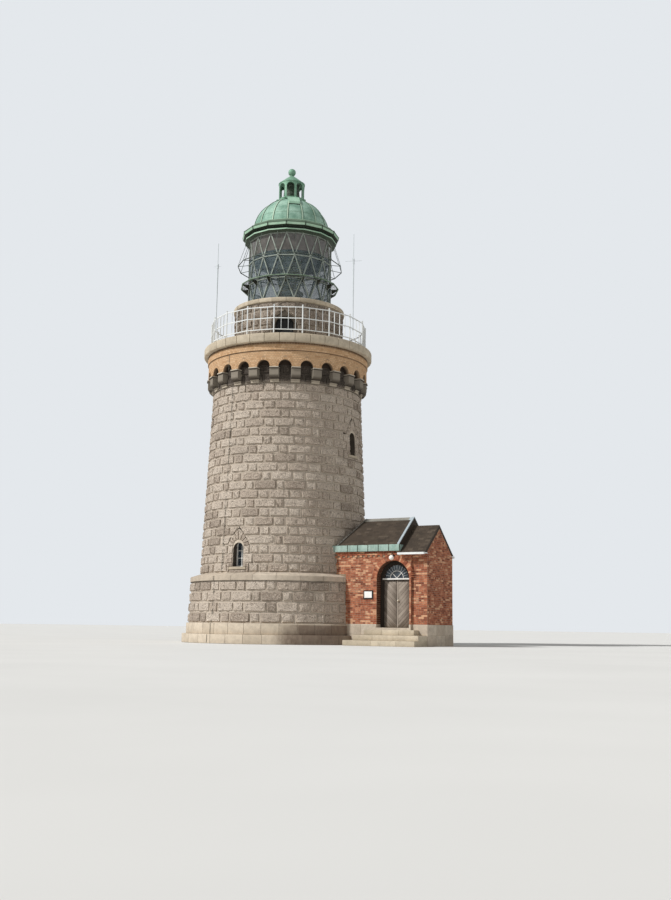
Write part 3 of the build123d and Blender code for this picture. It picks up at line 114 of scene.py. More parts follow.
# Lantern and dome
SIDES, LANTERN_TURN = 16, 4.0
DOME_Z, DOME_RISE, DOME_SEAM_RISE = 18.307, 1.375, 0.395
VENT_Z, VENT_R = DOME_Z + DOME_RISE, 0.585
CAP_Z = VENT_Z + 0.878
GUTTER_Z, GUTTER_R, GUTTER_HEIGHT = 17.915, 2.18, 0.15
HATCH_FOOT_R, HATCH_FOOT_Z = 1.385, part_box("roof_hatch")[0][2]
UPPER_TIER_Z = 16.86
CATWALK_R = max(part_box("catwalk_deck")[1][:2])

# Finishes by name, their matt sheen, and the noises that many share, as (scale, detail, roughness)
MATT_SPECULAR = 0.15
MOTTLE, CRAGS, RAIN = (5.0, 5), (11.0, 6, 0.62), (0.55, 4, 0.65)
BLOTCH, FINE = (2.2, 5, 0.65), (18.0, 4)
FINISHES = {}

# Camera, fitted to the photograph
FOCAL_PIXELS, IMAGE_HEIGHT, SENSOR = 1081.531, 900, 36
CAMERA_AT = (24.828, -39.734, 0.734)
PITCH, YAW, ROLL, TURN = (radians(a) for a in (9.255, 2.639, 0.769, 32.0))

Block = namedtuple("Block", "points faces")


def deselect():
    if bpy.context.object and bpy.context.object.mode != "OBJECT":
        bpy.ops.object.mode_set(mode="OBJECT")
    bpy.ops.object.select_all(action="DESELECT")


def primitive(kind, **settings):
    """Add one mesh primitive as the only selected object."""
    deselect()
    getattr(bpy.ops.mesh, f"primitive_{kind}_add")(**settings)
    return bpy.context.object


def edit(obj):
    bpy.context.view_layer.objects.active = obj
    bpy.ops.object.mode_set(mode="EDIT")
    bpy.ops.mesh.select_all(action="SELECT")


def leave_edit():
    bpy.ops.object.mode_set(mode="OBJECT")


def scale_mesh(x, y, z):
    bpy.ops.transform.resize(value=(x, y, z), center_override=(0, 0, 0))


def select_where(obj, kind, test):
    """In edit mode, select the edges or faces whose points pass a test."""
    bpy.ops.mesh.select_all(action="DESELECT")
    bpy.ops.mesh.select_mode(type={"edges": "EDGE", "polygons": "FACE"}[kind])
    leave_edit()
    points = [v.co for v in obj.data.vertices]
    for item in getattr(obj.data, kind):
        item.select = test([points[i] for i in item.vertices])
    bpy.ops.object.mode_set(mode="EDIT")


def place_in_mesh(obj):
    """Leave the object at the origin, with its place in its mesh."""
    leave_edit()
    obj.data.transform(obj.matrix_world)
    obj.matrix_world = Matrix.Identity(4)
    return obj


def apply_modifier(obj, kind, **settings):
    modifier = obj.modifiers.new(kind.lower(), kind)
    for key, value in settings.items():
        setattr(modifier, key, value)
    bpy.context.view_layer.objects.active = obj
    bpy.ops.object.modifier_apply(modifier=modifier.name)


def harvest(obj):
    """Take the finished mesh of a modelled object as a block to copy."""
    if obj.mode != "OBJECT":
        leave_edit()
    points = np.array([v.co for v in obj.data.vertices], float)
    faces = [tuple(face.vertices) for face in obj.data.polygons]
    bpy.data.objects.remove(obj)
    return Block(points, faces)


def unit_block(block, width, height):
    """The same block with its face from (0, 0) to (1, 1), ready to be stretched."""
    return Block(block.points / (width, height, 1) + (0.5, 0.5, 0), block.faces)


def shaped_block(size, cells, rings, relief=0.0, seed=0, tilt=0.0):
    """Block seen from its face: a grid in the middle, then borders of (inset, depth) out to its sides."""
    width, height = size
    inset, depth = rings[0]
    inner = (width - 2 * inset, height - 2 * inset)
    obj = primitive("grid", x_subdivisions=cells[0], y_subdivisions=cells[1], size=1)
    edit(obj)
    scale_mesh(inner[0], inner[1], 1)
    bpy.ops.transform.translate(value=(0, 0, depth))
    if relief:
        bpy.ops.transform.vertex_random(offset=relief, uniform=0, normal=1, seed=seed)
    bpy.ops.mesh.region_to_loop()
    for inset, depth in rings[1:]:
        outer = (width - 2 * inset, height - 2 * inset)
        bpy.ops.mesh.extrude_edges_move()
        bpy.ops.transform.resize(value=(outer[0] / inner[0], outer[1] / inner[1], 0),
                                 center_override=(0, 0, depth))
        inner = outer
    bpy.ops.mesh.select_all(action="SELECT")
    if tilt:
        bpy.ops.transform.rotate(value=tilt, orient_axis="X", center_override=(0, height / 2, 0))
    points, faces = harvest(obj)
    a, b, c = (points[[face[i] for face in faces]] for i in range(3))
    if np.cross(b - a, c - a)[:, 2].sum() < 0:
        faces = [tuple(reversed(face)) for face in faces]
    return unit_block(Block(points, faces), width, height)


def slab_block(width, height, depth, edge, arris=0.006, lengths=5):
    """Full block of a projecting course: rounded long edges at its front, fine arrises at its ends."""
    obj = primitive("cube", size=1)
    edit(obj)
    scale_mesh(width, height, depth)
    bpy.ops.transform.translate(value=(0, 0, -depth / 2))
    select_where(obj, "edges", lambda ends: all(e.z > -1e-4 for e in ends)
                 and abs(ends[0].x - ends[1].x) > width / 2)
    bpy.ops.mesh.bevel(offset=edge, segments=2)
    select_where(obj, "edges", lambda ends: abs(ends[0].x - ends[1].x) < 1e-4
                 and all(e.z > -depth + 1e-4 or abs(e.y) > height for e in ends))
    bpy.ops.mesh.bevel(offset=arris, segments=1)
    for cut in range(1, lengths):
        bpy.ops.mesh.select_all(action="SELECT")
        bpy.ops.mesh.bisect(plane_co=(width * (cut / lengths - 0.5), 0, 0), plane_no=(1, 0, 0))
    return unit_block(harvest(obj), width, height)


class Layer:
    """Copies of blocks gathered into one piece, each with its own tone and its points' rise."""

    def __init__(self, rng=None):
        self.rng = rng
        self.points, self.faces, self.count = [], [], 0
        self.values = {"tone": [], "rise": []}

    def add(self, points, faces, tone=0.5, rise=0.0):
        self.points.append(points)
        self.faces.extend([tuple(i + self.count for i in face) for face in faces])
        self.values["tone"].append(np.full(len(points), tone))
        self.values["rise"].append(np.zeros(len(points)) + rise)
        self.count += len(points)

    def lay(self, block, corners, place, tone=None):
        """Stretch a block over four (u, v) corners of a surface; a tone that isn't given is drawn."""
        x, y, d = block.points.T
        weights = np.stack(((1 - x) * (1 - y), x * (1 - y), x * y, (1 - x) * y))
        u, v = np.array(corners, float).T @ weights
        if tone is None:
            tone = self.rng.uniform(0, 1) if self.rng else 0.5
        self.add(place(u, v, d), block.faces, tone, d)

    def oblong(self, block, u0, u1, v0, v1, place, tone=None):
        self.lay(block, ((u0, v0), (u1, v0), (u1, v1), (u0, v1)), place, tone)

    def piece(self, name, slot, finish, **options):
        mesh = bpy.data.meshes.new(name)
        mesh.from_pydata(np.concatenate(self.points), [], self.faces)
        for key, values in self.values.items():
            mesh.attributes.new(key, "FLOAT", "POINT").data.foreach_set("value", np.concatenate(values))
        obj = bpy.data.objects.new(name, mesh)
        bpy.context.collection.objects.link(obj)
        return finish_piece([obj], name, slot, finish, **options)


def finish_piece(parts, name, slot, finish, body="building", angle=32, replaces=()):
    """Join and shade a piece, give it its finish and let it ride on its body."""
    deselect()
    for part in parts:
        part.select_set(True)
    obj = parts[0]
    bpy.context.view_layer.objects.active = obj
    if len(parts) > 1:
        bpy.ops.object.join()
    bpy.ops.object.shade_smooth_by_angle(angle=radians(angle))
    obj.name = obj.data.name = name
    obj.data.materials.clear()
    obj.data.materials.append(FINISHES[finish])
    if replaces:
        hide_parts(*replaces)
    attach(obj, body)
    return obj


def ring(low, high):
    """Surface between two (radius, height) circles: u is an azimuth in radians, v a share of the way up."""
    (r0, z0), (r1, z1) = low, high
    run = hypot(r1 - r0, z1 - z0)
    out, rise = (z1 - z0) / run, (r0 - r1) / run

    def place(u, v, d):
        r = r0 + (r1 - r0) * v + out * d
        return np.stack((r * np.sin(u), -r * np.cos(u), z0 + (z1 - z0) * v + rise * d), axis=1)
    return place


def flat(origin, along=(1, 0, 0), upward=(0, 0, 1)):
    """Flat surface: u metres along, v metres up, d metres out of it."""
    origin, along, upward = (np.array(a, float) for a in (origin, along, upward))
    out = np.cross(along, upward)

    def place(u, v, d):
        return origin + np.outer(u, along) + np.outer(v, upward) + np.outer(d, out)
    return place


def stand(obj, start, end, turn):
    """Put a bar or rod that lies round the origin between its two ends."""
    leave_edit()
    obj.matrix_world = Matrix.Translation((start + end) / 2) @ turn.to_4x4()
    return place_in_mesh(obj)


def bar(start, end, width, depth, outward, bevel=0.15):
    """Straight bar with eased edges between two points."""
    start, end, outward = Vector(start), Vector(end), Vector(outward)
    along = (end - start).normalized()
    across = along.cross(outward).normalized()
    obj = primitive("cube", size=1)
    edit(obj)
    scale_mesh(width, (end - start).length, depth)
    bpy.ops.mesh.bevel(offset=bevel * min(width, depth), segments=1)
    return stand(obj, start, end, Matrix((across, along, across.cross(along))).transposed())


def rod(start, end, radius, sides=8, tip=None):
    """Round rod between two points, tapering where its tip has a radius of its own."""
    start, end = Vector(start), Vector(end)
    obj = primitive("cone", vertices=sides, radius1=radius, radius2=radius if tip is None else tip,
                    depth=(end - start).length)
    edit(obj)
    bpy.ops.mesh.bevel(offset=0.2 * radius, segments=1)
    return stand(obj, start, end, Vector((0, 0, 1)).rotation_difference(end - start).to_matrix())


def chain(points, make, *sizes):
    """Bars or rods from point to point."""
    return [make(p, q, *sizes) for p, q in zip(points, points[1:])]


def turned_solid(outline, sides=32):
    """Spin an outline of (radius, height) points about the tower's axis and close it."""
    obj = primitive("circle", vertices=len(outline), radius=1, fill_type="NOTHING")
    for vertex, (r, z) in zip(obj.data.vertices, outline):
        vertex.co = (r, 0, z)
    edit(obj)
    bpy.ops.mesh.spin(steps=sides, angle=2 * pi, center=(0, 0, 0), axis=(0, 0, 1))
    bpy.ops.mesh.select_all(action="SELECT")
    bpy.ops.mesh.remove_doubles(threshold=1e-5)
    bpy.ops.mesh.normals_make_consistent(inside=False)
    leave_edit()
    return obj


def around(radius, azimuth, z=0.0):
    a = radians(azimuth)
    return Vector((radius * sin(a), -radius * cos(a), z))


def up(z):
    return Vector((0, 0, z))


def wall_radius(wall, z):
    (r0, z0), (r1, z1) = wall
    return r0 + (r1 - r0) * (z - z0) / (z1 - z0)


def shaft_radius(z):
    return wall_radius(SHAFT_WALL, z)


def half_chord(radius, rise):
    """Half width of an arch at a rise over its springing; below it the arch is at its widest."""
    return sqrt(max(0, radius ** 2 - max(0, rise) ** 2))


def linear(code):
    """Scene colour of a written hex colour."""
    channels = [int(code[i:i + 2], 16) / 255 for i in (0, 2, 4)]
    return tuple([c / 12.92 if c <= 0.04045 else ((c + 0.055) / 1.055) ** 2.4 for c in channels] + [1.0])


class Value:
    """A node's socket, used in plain expressions."""

    def __init__(self, tree, socket):
        self.tree, self.socket = tree, socket

    def math(self, operation, *others):
        return self.tree.add("Math", {"operation": operation}, dict(enumerate((self,) + others)))

    def __add__(self, other):
        return self.math("ADD", other)

    def __mul__(self, other):
        return self.math("MULTIPLY", other)

    def __sub__(self, other):
        return self.math("SUBTRACT", other)

    def __rsub__(self, other):
        return self.tree.add("Math", {"operation": "SUBTRACT"}, {0: other, 1: self})

    __radd__, __rmul__ = __add__, __mul__

    def share(self, low, high):
        """How far it lies between two numbers, kept within 0 and 1."""
        return self.tree.add("MapRange", {"clamp": True}, {0: self, 1: low, 2: high, 3: 0.0, 4: 1.0})

    def fade(self, low, high):
        return 1 - self.share(low, high)

    def between(self, rise, fall):
        """1 from the end of one (low, high) slope to the start of another, 0 outside them."""
        return self.share(*rise) * self.fade(*fall)

    def near(self, level, full, none):
        """1 within a distance of a level, 0 beyond a longer one."""
        return (self - level).math("ABSOLUTE").fade(full, none)


class Nodes:
    """A node tree, built with plain calls."""

    def __init__(self, tree):
        self.nodes, self.links = tree.nodes, tree.links

    def plug(self, socket, value):
        if isinstance(value, Value):
            self.links.new(value.socket, socket)
        else:
            socket.default_value = value

    def add(self, kind, settings=None, inputs=None, output=0):
        """Any node: its type, its settings first, then the values or links of its sockets."""
        node = self.nodes.new("ShaderNode" + kind)
        for key, value in (settings or {}).items():
            setattr(node, key, value)
        for key, value in (inputs or {}).items():
            self.plug(node.inputs[key], value)
        return Value(self, node.outputs[output])


class Finish(Nodes):
    """One surface finish, built from procedural nodes."""

    def __init__(self, name):
        self.material = bpy.data.materials.new(name)
        self.material.use_nodes = True
        super().__init__(self.material.node_tree)
        self.shader = next(n for n in self.nodes if n.type == "BSDF_PRINCIPLED")
        self.place = self.add("TexCoord", output="Object")

    def noise(self, scale, detail=3.0, roughness=0.6, at=None, stretch=None):
        """Noise of about that many features a metre, in the object's own space."""
        where = at or self.place
        if stretch:
            where = self.add("Mapping", {"vector_type": "POINT"}, {"Vector": where, "Scale": stretch})
        return self.add("TexNoise", None, {"Vector": where, "Scale": scale, "Detail": detail,
                                           "Roughness": roughness})

    def own(self, name):
        """A value that the copies of blocks carry: tone or rise."""
        return self.add("Attribute", {"attribute_name": name}, output="Fac")

    def axis(self, name):
        return self.add("SeparateXYZ", None, {"Vector": self.place}, output=name)

    def radius(self):
        """Distance from the tower's axis."""
        x, y = self.axis("X"), self.axis("Y")
        return (x * x + y * y).math("SQRT")

    def lean(self):
        """1 where the surface faces up, -1 where it faces down."""
        normal = self.add("NewGeometry", output="Normal")
        return self.add("SeparateXYZ", None, {"Vector": normal}, output="Z")

    def over(self, colour, *coats):
        """Lay coats over a colour, each a factor and a colour; a colour is a hex code or a node's."""
        for factor, coat in coats:
            first, second = (linear(c) if isinstance(c, str) else c for c in (colour, coat))
            colour = self.add("Mix", {"data_type": "RGBA"}, {0: factor, 6: first, 7: second}, output=2)
        return colour

    def mica(self, strength):
        """Coat of fine dark grains."""
        cells = self.add("TexVoronoi", None, {"Vector": self.place, "Scale": 140.0})
        return cells.fade(0.05, 0.42) * strength, "3d3833"

    def surface(self, colour, roughness, height=None, strength=0.5, distance=0.01, **fixed):
        """Feed the shader and give back the finished material."""
        values = {"Base Color": colour, "Roughness": roughness, "Specular IOR Level": MATT_SPECULAR}
        if height is not None:
            values["Normal"] = self.add("Bump", None, {"Height": height, "Strength": strength,
                                                       "Distance": distance})
        values.update({key.replace("_", " "): value for key, value in fixed.items()})
        for key, value in values.items():
            self.plug(self.shader.inputs[key], value)
        return self.material


def rock_granite(name, pale, warm, dark, soot_and_shade=None):
    """Rock-faced granite: craggy faces within pale drafted margins, painted shade on the stones' sides in the
    joints and, where asked, painted shade towards the top.
    """
    f = Finish(name)
    tone, rise = f.own("tone"), f.own("rise")
    face = rise.share(0.014, 0.032)
    crag, chips = f.noise(11.0, 5, 0.66), f.noise(26.0, 4, 0.7)
    coats = [
        (tone.share(0.1, 0.9), warm),
        (tone.share(0.84, 0.92) * 0.35, dark),
        (chips.share(0.51, 0.6) * face * 0.6, dark),
        (crag.share(0.54, 0.62) * face * 0.5, "5f544a"),
        (chips.fade(0.38, 0.47) * face * 0.6, "e8dbc9"),
        ((1 - face) * 0.45, "d6c9b7"),
        # Painted shade on the stones' sides down in the joints
        (rise.fade(-0.018, 0.002) * 0.85, "40382f"),
        f.mica(0.25),
        (f.noise(*RAIN).share(0.5, 0.78) * 0.25, "6a6158"),
    ]
    # Painted shade: near-black towards the top, for the shadow deep under the arches
    if soot_and_shade:
        deep, depth = soot_and_shade
        coats.append((f.axis("Z").share(*deep) * depth, "1d1817"))
    height = (crag + chips * 0.4) * (face * 0.9 + 0.1) + f.noise(70.0, 3) * 0.05
    return f.surface(f.over(pale, *coats), chips * 0.15 + 0.76, height, 1.0, 0.08)


def granite(name, pale, warm, dark, rough):
    """Speckled granite: stone by stone tone, mottling, grains of mica and rain stains."""
    f = Finish(name)
    mottle = f.noise(*MOTTLE)
    colour = f.over(pale, (f.own("tone").share(0.15, 0.85), warm), (mottle.share(0.42, 0.72) * 0.55, dark),
                    f.mica(0.35), (f.noise(60.0, 2).share(0.55, 0.75) * 0.35, "e2d8c8"),
                    (f.noise(*RAIN).share(0.5, 0.78) * 0.25, "5c554c"))
    height = f.noise(*CRAGS) * rough + f.noise(70.0, 3) * 0.2
    return f.surface(colour, mottle * 0.18 + 0.74, height, 0.75, 0.03 * rough)


def corbel_granite():
    """Corbels: pale impost and feet, the face and roll darkened as painted shade, painted shadow lines under
    the impost and the roll, painted shade on the undersides.
    """
    f = Finish("corbel_granite")
    mottle, z = f.noise(*MOTTLE), f.axis("Z")
    upper = z.share(ROLL_FOOT - 0.03, ROLL_FOOT - 0.02)
    colour = f.over("cdc3b1", (mottle.share(0.35, 0.7), "bdb19e"),
                    # Painted shade: the face and roll below the impost are darkened
                    (z.fade(IMPOST_FOOT - 0.004, IMPOST_FOOT) * 0.85, "787065"),
                    (z.fade(ROLL_TOP - 0.1, ROLL_TOP) * 0.45, "6f675c"),
                    # Painted shadow lines under the impost and under the roll
                    (z.near(IMPOST_FOOT, 0.009, 0.03) * 0.85, "2c2621"),
                    (z.near(ROLL_FOOT, 0.0105, 0.035) * 0.85, "2c2621"),
                    # The feet below the roll are left pale, out of the painted shade
                    ((1 - upper) * 0.85, "b9ad9b"),
                    # Painted shade on the undersides
                    (f.lean().fade(-0.75, -0.2) * (upper * 0.5 + 0.25), "4a423a"), f.mica(0.3))
    return f.surface(colour, mottle * 0.18 + 0.74, f.noise(*CRAGS), 0.7, 0.012)


def base_granite():
    """Base stones, stained brown beside the steps."""
    f = Finish("base_granite")
    mottle, wet = f.noise(*MOTTLE), f.noise(1.6, 5, 0.7, stretch=(1, 1, 0.5))
    stain = ((f.axis("X") + wet * 1.6 - 0.8).share(1.9, 2.7) * f.axis("Y").fade(-1.0, 0.0)
             * f.axis("Z").fade(0.74, 0.79))
    colour = f.over("cfc1ad", (f.own("tone").share(0.15, 0.85), "c0b29e"),
                    (mottle.share(0.42, 0.72) * 0.45, "9b8f80"),
                    (stain * (wet.share(0.2, 0.6) * 0.35 + 0.45), "5f4c40"), f.mica(0.3))
    return f.surface(colour, mottle * 0.18 + 0.74, f.noise(*CRAGS), 0.7, 0.01)


def mortar(name, base, dark, soot_and_shade=False):
    """Joints; those of the arcade get painted shade deep inside the arches."""
    f = Finish(name)
    patch = f.noise(2.5, 4)
    colour = f.over(base, (patch.share(0.35, 0.7), dark))
    if soot_and_shade:
        # Painted shade: joints near-black deep inside the arches
        colour = f.over(colour, (f.radius().fade(3.3, 3.47) * 0.95, "332b26"))
    return f.surface(colour, patch * 0.1 + 0.86, f.noise(45.0, 4), 0.6, 0.01)


def brickwork(name, tones, soot_and_shade, ledge_shadows=(), recess=False):
    """Fired bricks: colours by the brick, pitted faces, soot patches, painted shadow under ledges and painted
    shade deep in the doorway.
    """
    f = Finish(name)
    tone, pits, patch, z = f.own("tone"), f.noise(55.0, 4), f.noise(9.0, 3), f.axis("Z")
    coats = [
        (tone.share(0.0, 0.35), tones[1]),
        (tone.share(0.45, 0.75), tones[2]),
        (tone.share(0.82, 0.9), tones[3]),
        (patch.share(0.45, 0.65) * 0.45, tones[0]),
        (patch.fade(0.35, 0.48) * 0.35, tones[3]),
        (f.noise(0.8, 4).share(0.5, 0.85) * soot_and_shade, "4a3a30"),
    ]
    # Painted shadow: a dark band under each ledge
    for ledge, reach in ledge_shadows:
        ledge_shadow = z.between((ledge - reach, ledge - 0.4 * reach), (ledge + 0.001, ledge + 0.003))
        coats.append((ledge_shadow * 0.8, "3a2c22"))
    # Painted shade: dark bricks deep in the doorway's reveal and arch
    if recess:
        doorway = f.axis("X").between((5.0, 5.02), (DOOR_X + 0.3, DOOR_X + 0.4))
        deep = f.axis("Y").between((WING_FRONT + 0.002, WING_FRONT + 0.03),
                                   (DOOR_FACE + 0.05, DOOR_FACE + 0.06))
        coats.append((doorway * deep * 0.8, "2b1a14"))
    return f.surface(f.over(tones[0], *coats), pits * 0.2 + 0.7, pits + patch * 0.5, 0.5, 0.006)


def patina(name, pale, deep, brown, streaks=0.4, metal=0.25):
    """Weathered copper: blotches of verdigris with brown streaks down the slope."""
    f = Finish(name)
    blotch, fine = f.noise(*BLOTCH), f.noise(*FINE)
    run = f.noise(1.0, 4, 0.7, stretch=(9.0, 9.0, 0.7))
    colour = f.over(pale, (blotch.share(0.35, 0.68), deep), (fine.share(0.5, 0.75) * 0.3, "d3e0cd"),
                    (run.share(0.52, 0.8) * streaks, brown))
    return f.surface(colour, blotch * 0.25 + 0.45, fine + blotch, 0.25, 0.006, Metallic=metal)


def seamed_copper(pale):
    """Dome copper with painted shade beside its upright battens and along its lap, and a painted highlight on
    the battens.
    """
    f = Finish("seamed_copper")
    blotch, fine = f.noise(*BLOTCH), f.noise(*FINE)
    pitch = 2 * pi / SIDES
    turn = (f.axis("X").math("ARCTAN2", f.axis("Y") * -1.0) * (1 / pitch)
            + (SIDES + 0.5 - radians(LANTERN_TURN) / pitch))
    off_seam = (turn.math("FRACT") - 0.5).math("ABSOLUTE") * f.radius() * pitch
    run = f.noise(1.0, 4, 0.7, stretch=(7.0, 7.0, 0.8))
    colour = f.over(pale, (blotch.share(0.38, 0.62), "6f9280"), (fine.share(0.5, 0.75) * 0.3, "b9ccbb"),
                    # Rain streaks, then painted shade beside the battens
                    (run.share(0.5, 0.75) * 0.35, "5b7767"), (off_seam.fade(0.022, 0.06) * 0.75, "4c5f4d"),
                    # Painted shade along the lap
                    (f.axis("Z").near(DOME_Z + DOME_SEAM_RISE, 0.004, 0.03) * 0.45, "5d705c"),
                    # Painted highlight along the battens
                    (off_seam.fade(0.016, 0.022) * 0.9, "bcd0b9"))
    return f.surface(colour, blotch * 0.25 + 0.5, fine + blotch, 0.25, 0.006, Metallic=0.15)


def cornice_copper():
    """Gutter copper: pale faces, with painted shade below the gutter, a painted shadow band at the top of its
    face, and painted shade on the undersides.
    """
    f = Finish("cornice_copper")
    blotch, z = f.noise(*BLOTCH), f.axis("Z") - GUTTER_Z
    colour = f.over("abc6ad", (blotch.share(0.35, 0.68), "8fb297"),
                    # Painted shade below the gutter, a painted shadow band at the top of its face, painted
                    # shade on the undersides
                    (z.between((-0.15, -0.13), (-0.01, 0.01)), "2c332b"),
                    (z.between((0.095, 0.105), (0.28, 0.32)) * 0.8, "3f4c3c"),
                    (f.lean().fade(-0.6, -0.25) * 0.9, "35392f"))
    return f.surface(colour, blotch * 0.25 + 0.5, f.noise(*FINE), 0.25, 0.006, Metallic=0.15)


def roof_lead():
    """Lead strips: dull brown on the hips and the ridge, bluish grey at the verge."""
    f = Finish("roof_lead")
    blotch, verge = f.noise(*BLOTCH), f.axis("X").share(VERGE - 0.2, VERGE - 0.19)
    colour = f.over("8b8880", (blotch.share(0.35, 0.68), "716d64"), (verge, "a9b3b8"),
                    (f.noise(*FINE).share(0.5, 0.75) * 0.3, "6b6a66"))
    return f.surface(colour, blotch * 0.25 + 0.5, blotch, 0.2, 0.004)


def catwalk_metal(name, grating):
    """Green edges of the catwalk; within them the deck and the brackets painted brown-black as shade; and an
    open grating to walk on.
    """
    f = Finish(name)
    blotch = f.noise(6.0, 5, 0.65)
    edge = CATWALK_R * cos(pi / SIDES) - 0.03
    inner = f.radius().fade(edge - 0.01, edge)
    # Painted shade: brown-black within the green edge, on the deck and the brackets
    colour = f.over("7f917d", (blotch.share(0.4, 0.65), "5a6b59"), (inner * 0.9, "2f2923"))
    fixed = {"Metallic": 0.2}
    if grating:
        holes = inner
        for axis, pitch in (("X", 0.05), ("Y", 0.1)):
            holes = holes * (f.axis(axis) * (1 / pitch)).math("FRACT").share(0.2, 0.22)
        f.material.surface_render_method = "BLENDED"
        fixed["Alpha"] = 1 - holes
    return f.surface(colour, blotch * 0.25 + 0.45, f.noise(*FINE), 0.25, 0.004, **fixed)


def hatch_copper():
    """Copper of the raised hatch, with a painted shadow under its lower edge."""
    f = Finish("hatch_copper")
    blotch = f.noise(*BLOTCH)
    # Painted shadow: near-black band along the hatch's lower edge
    edge = (f.radius().share(HATCH_FOOT_R - 0.02, HATCH_FOOT_R - 0.008)
            * f.axis("Z").fade(HATCH_FOOT_Z + 0.035, HATCH_FOOT_Z + 0.045))
    colour = f.over("a2c3ac", (blotch.share(0.35, 0.68), "86ab92"), (edge, "232c25"))
    return f.surface(colour, blotch * 0.25 + 0.5, f.noise(*FINE), 0.25, 0.006, Metallic=0.15)


def paint(name, base, worn, grime, rust=0.25, roughness=0.42, metal=0.0):
    """Old paint with chalky patches, grime and a few worn spots."""
    f = Finish(name)
    chalk, chips = f.noise(6.0, 4), f.noise(30.0, 5, 0.7)
    colour = f.over(base, (chalk.share(0.4, 0.7) * 0.5, grime), (chips.share(0.62, 0.7) * rust, worn))
    return f.surface(colour, chalk * 0.25 + (roughness - 0.12), chips, 0.2, 0.002, Metallic=metal)


def slates(dark):
    """Thin rows of dark brown slates with lichen and pale bruises."""
    f = Finish("roof_slates")
    tone, moss = f.own("tone"), f.noise(3.0, 5, 0.7)
    colour = f.over(dark, (tone.share(0.0, 1.0), "483e34"), (tone.share(0.9, 0.96) * 0.4, "61564a"),
                    (moss.share(0.55, 0.75) * 0.2, "6d6855"))
    return f.surface(colour, moss * 0.2 + 0.62, f.noise(40.0, 4, stretch=(1, 0.4, 0.4)), 0.45, 0.006)


def chevron_boards(name, pale, dark):
    """Bare weathered boards, their grain running down to the meeting of the leaves; their sides in the gaps
    are darkened as painted shade.
    """
    f = Finish(name)
    side, z = (f.axis("X") - DOOR_X).math("ABSOLUTE"), f.axis("Z")
    where = f.add("CombineXYZ", None, {"X": (side - z) * 60.0, "Y": (side + z) * 2.5, "Z": f.axis("Y") * 4.0})
    grain, wear = f.noise(1.0, 5, 0.7, at=where), f.noise(2.6, 4)
    colour = f.over(pale, (f.own("tone").share(0.0, 1.0), "7d7267"),
                    # Painted shade on the boards' sides in the gaps
                    (f.own("rise").fade(0.002, 0.007), "2e2823"),
                    (grain.share(0.4, 0.72) * 0.6, dark), (wear.share(0.5, 0.8) * 0.4, "b5aa9c"))
    return f.surface(colour, grain * 0.2 + 0.7, grain, 0.5, 0.004)


def plain_wood(name, pale, dark):
    f = Finish(name)
    grain = f.noise(3.0, 5, 0.7, stretch=(14.0, 14.0, 1.0))
    return f.surface(f.over(pale, (grain.share(0.35, 0.75), dark)), grain * 0.2 + 0.6, grain, 0.35, 0.003)


def window_glass(name, tint, alpha, upper=None):
    """Old glass, faintly uneven and dusty; the lantern's upper panes are clouded."""
    f = Finish(name)
    dust = f.noise(3.5, 4)
    colour = f.over(tint, (dust.share(0.35, 0.75) * 0.35, "9fb0b4"))
    haze = dust * 0.14 + (alpha - 0.07)
    if upper:
        high = f.axis("Z").share(UPPER_TIER_Z, UPPER_TIER_Z + 0.02)
        colour = f.over(colour, (high, f.over(upper, (dust.share(0.35, 0.7), "69655f"))))
        haze = haze + high * 0.5
    f.material.surface_render_method = "BLENDED"
    return f.surface(colour, dust * 0.1 + 0.06, f.noise(1.3, 2), 0.05, 0.01, Alpha=haze,
                     Specular_IOR_Level=0.5)


def lens_glass():
    """Pressed prisms: green-yellow glass with pale patches painted as glints on the flanks."""
    f = Finish("lens_prisms")
    depth = f.noise(4.0, 3)
    # Painted highlight: pale yellow patches over the green
    colour = f.over("7b8d63", (depth.share(0.35, 0.7), "c3c184"))
    return f.surface(colour, depth * 0.08 + 0.05, f.noise(9.0, 2), 0.1, 0.01, Alpha=0.9,
                     Specular_IOR_Level=0.6)


def opal():
    f = Finish("opal_globe")
    haze = f.noise(7.0, 3)
    colour = f.over("f3efe6", (haze.share(0.45, 0.8) * 0.4, "cfc7b8"))
    return f.surface(colour, haze * 0.15 + 0.18, haze, 0.05, 0.002, Coat_Weight=0.4, Specular_IOR_Level=0.5)


WEARS = {
    "mortar": "footing base_course plinth_wall belt_course shaft_wall drum_wall",
    "dressed": "tower_floors window_surrounds drum_curb passage_floor door_threshold entrance_plinth",
    "corbel": "corbels", "white": "gallery_railing eaves_gutter", "joinery": "window_frames",
    "dark_glass": "window_glass fanlight", "buff_mortar": "brick_arcade", "iron": "gallery_door notice_board",
    "lattice": "lantern_sill lantern_lattice", "rail": "catwalk_handrail", "glass": "lantern_glass",
    "deck": "catwalk_deck", "brackets": "catwalk_brackets", "copper": "ventilator finial",
    "hatch": "roof_hatch", "dome": "dome dome_battens", "cornice": "lantern_cornice",
    "brass": "optic_pedestal", "grey": "aerials",
    "red_mortar": "front_wall front_arch back_wall party_wall", "slates": "roof_slopes wing_roof_strip",
    "fascia": "eaves_fascia", "lead": "roof_flashings", "frame_wood": "door_frame",
    "leaf_wood": "door_leaf_left door_leaf_right",
}


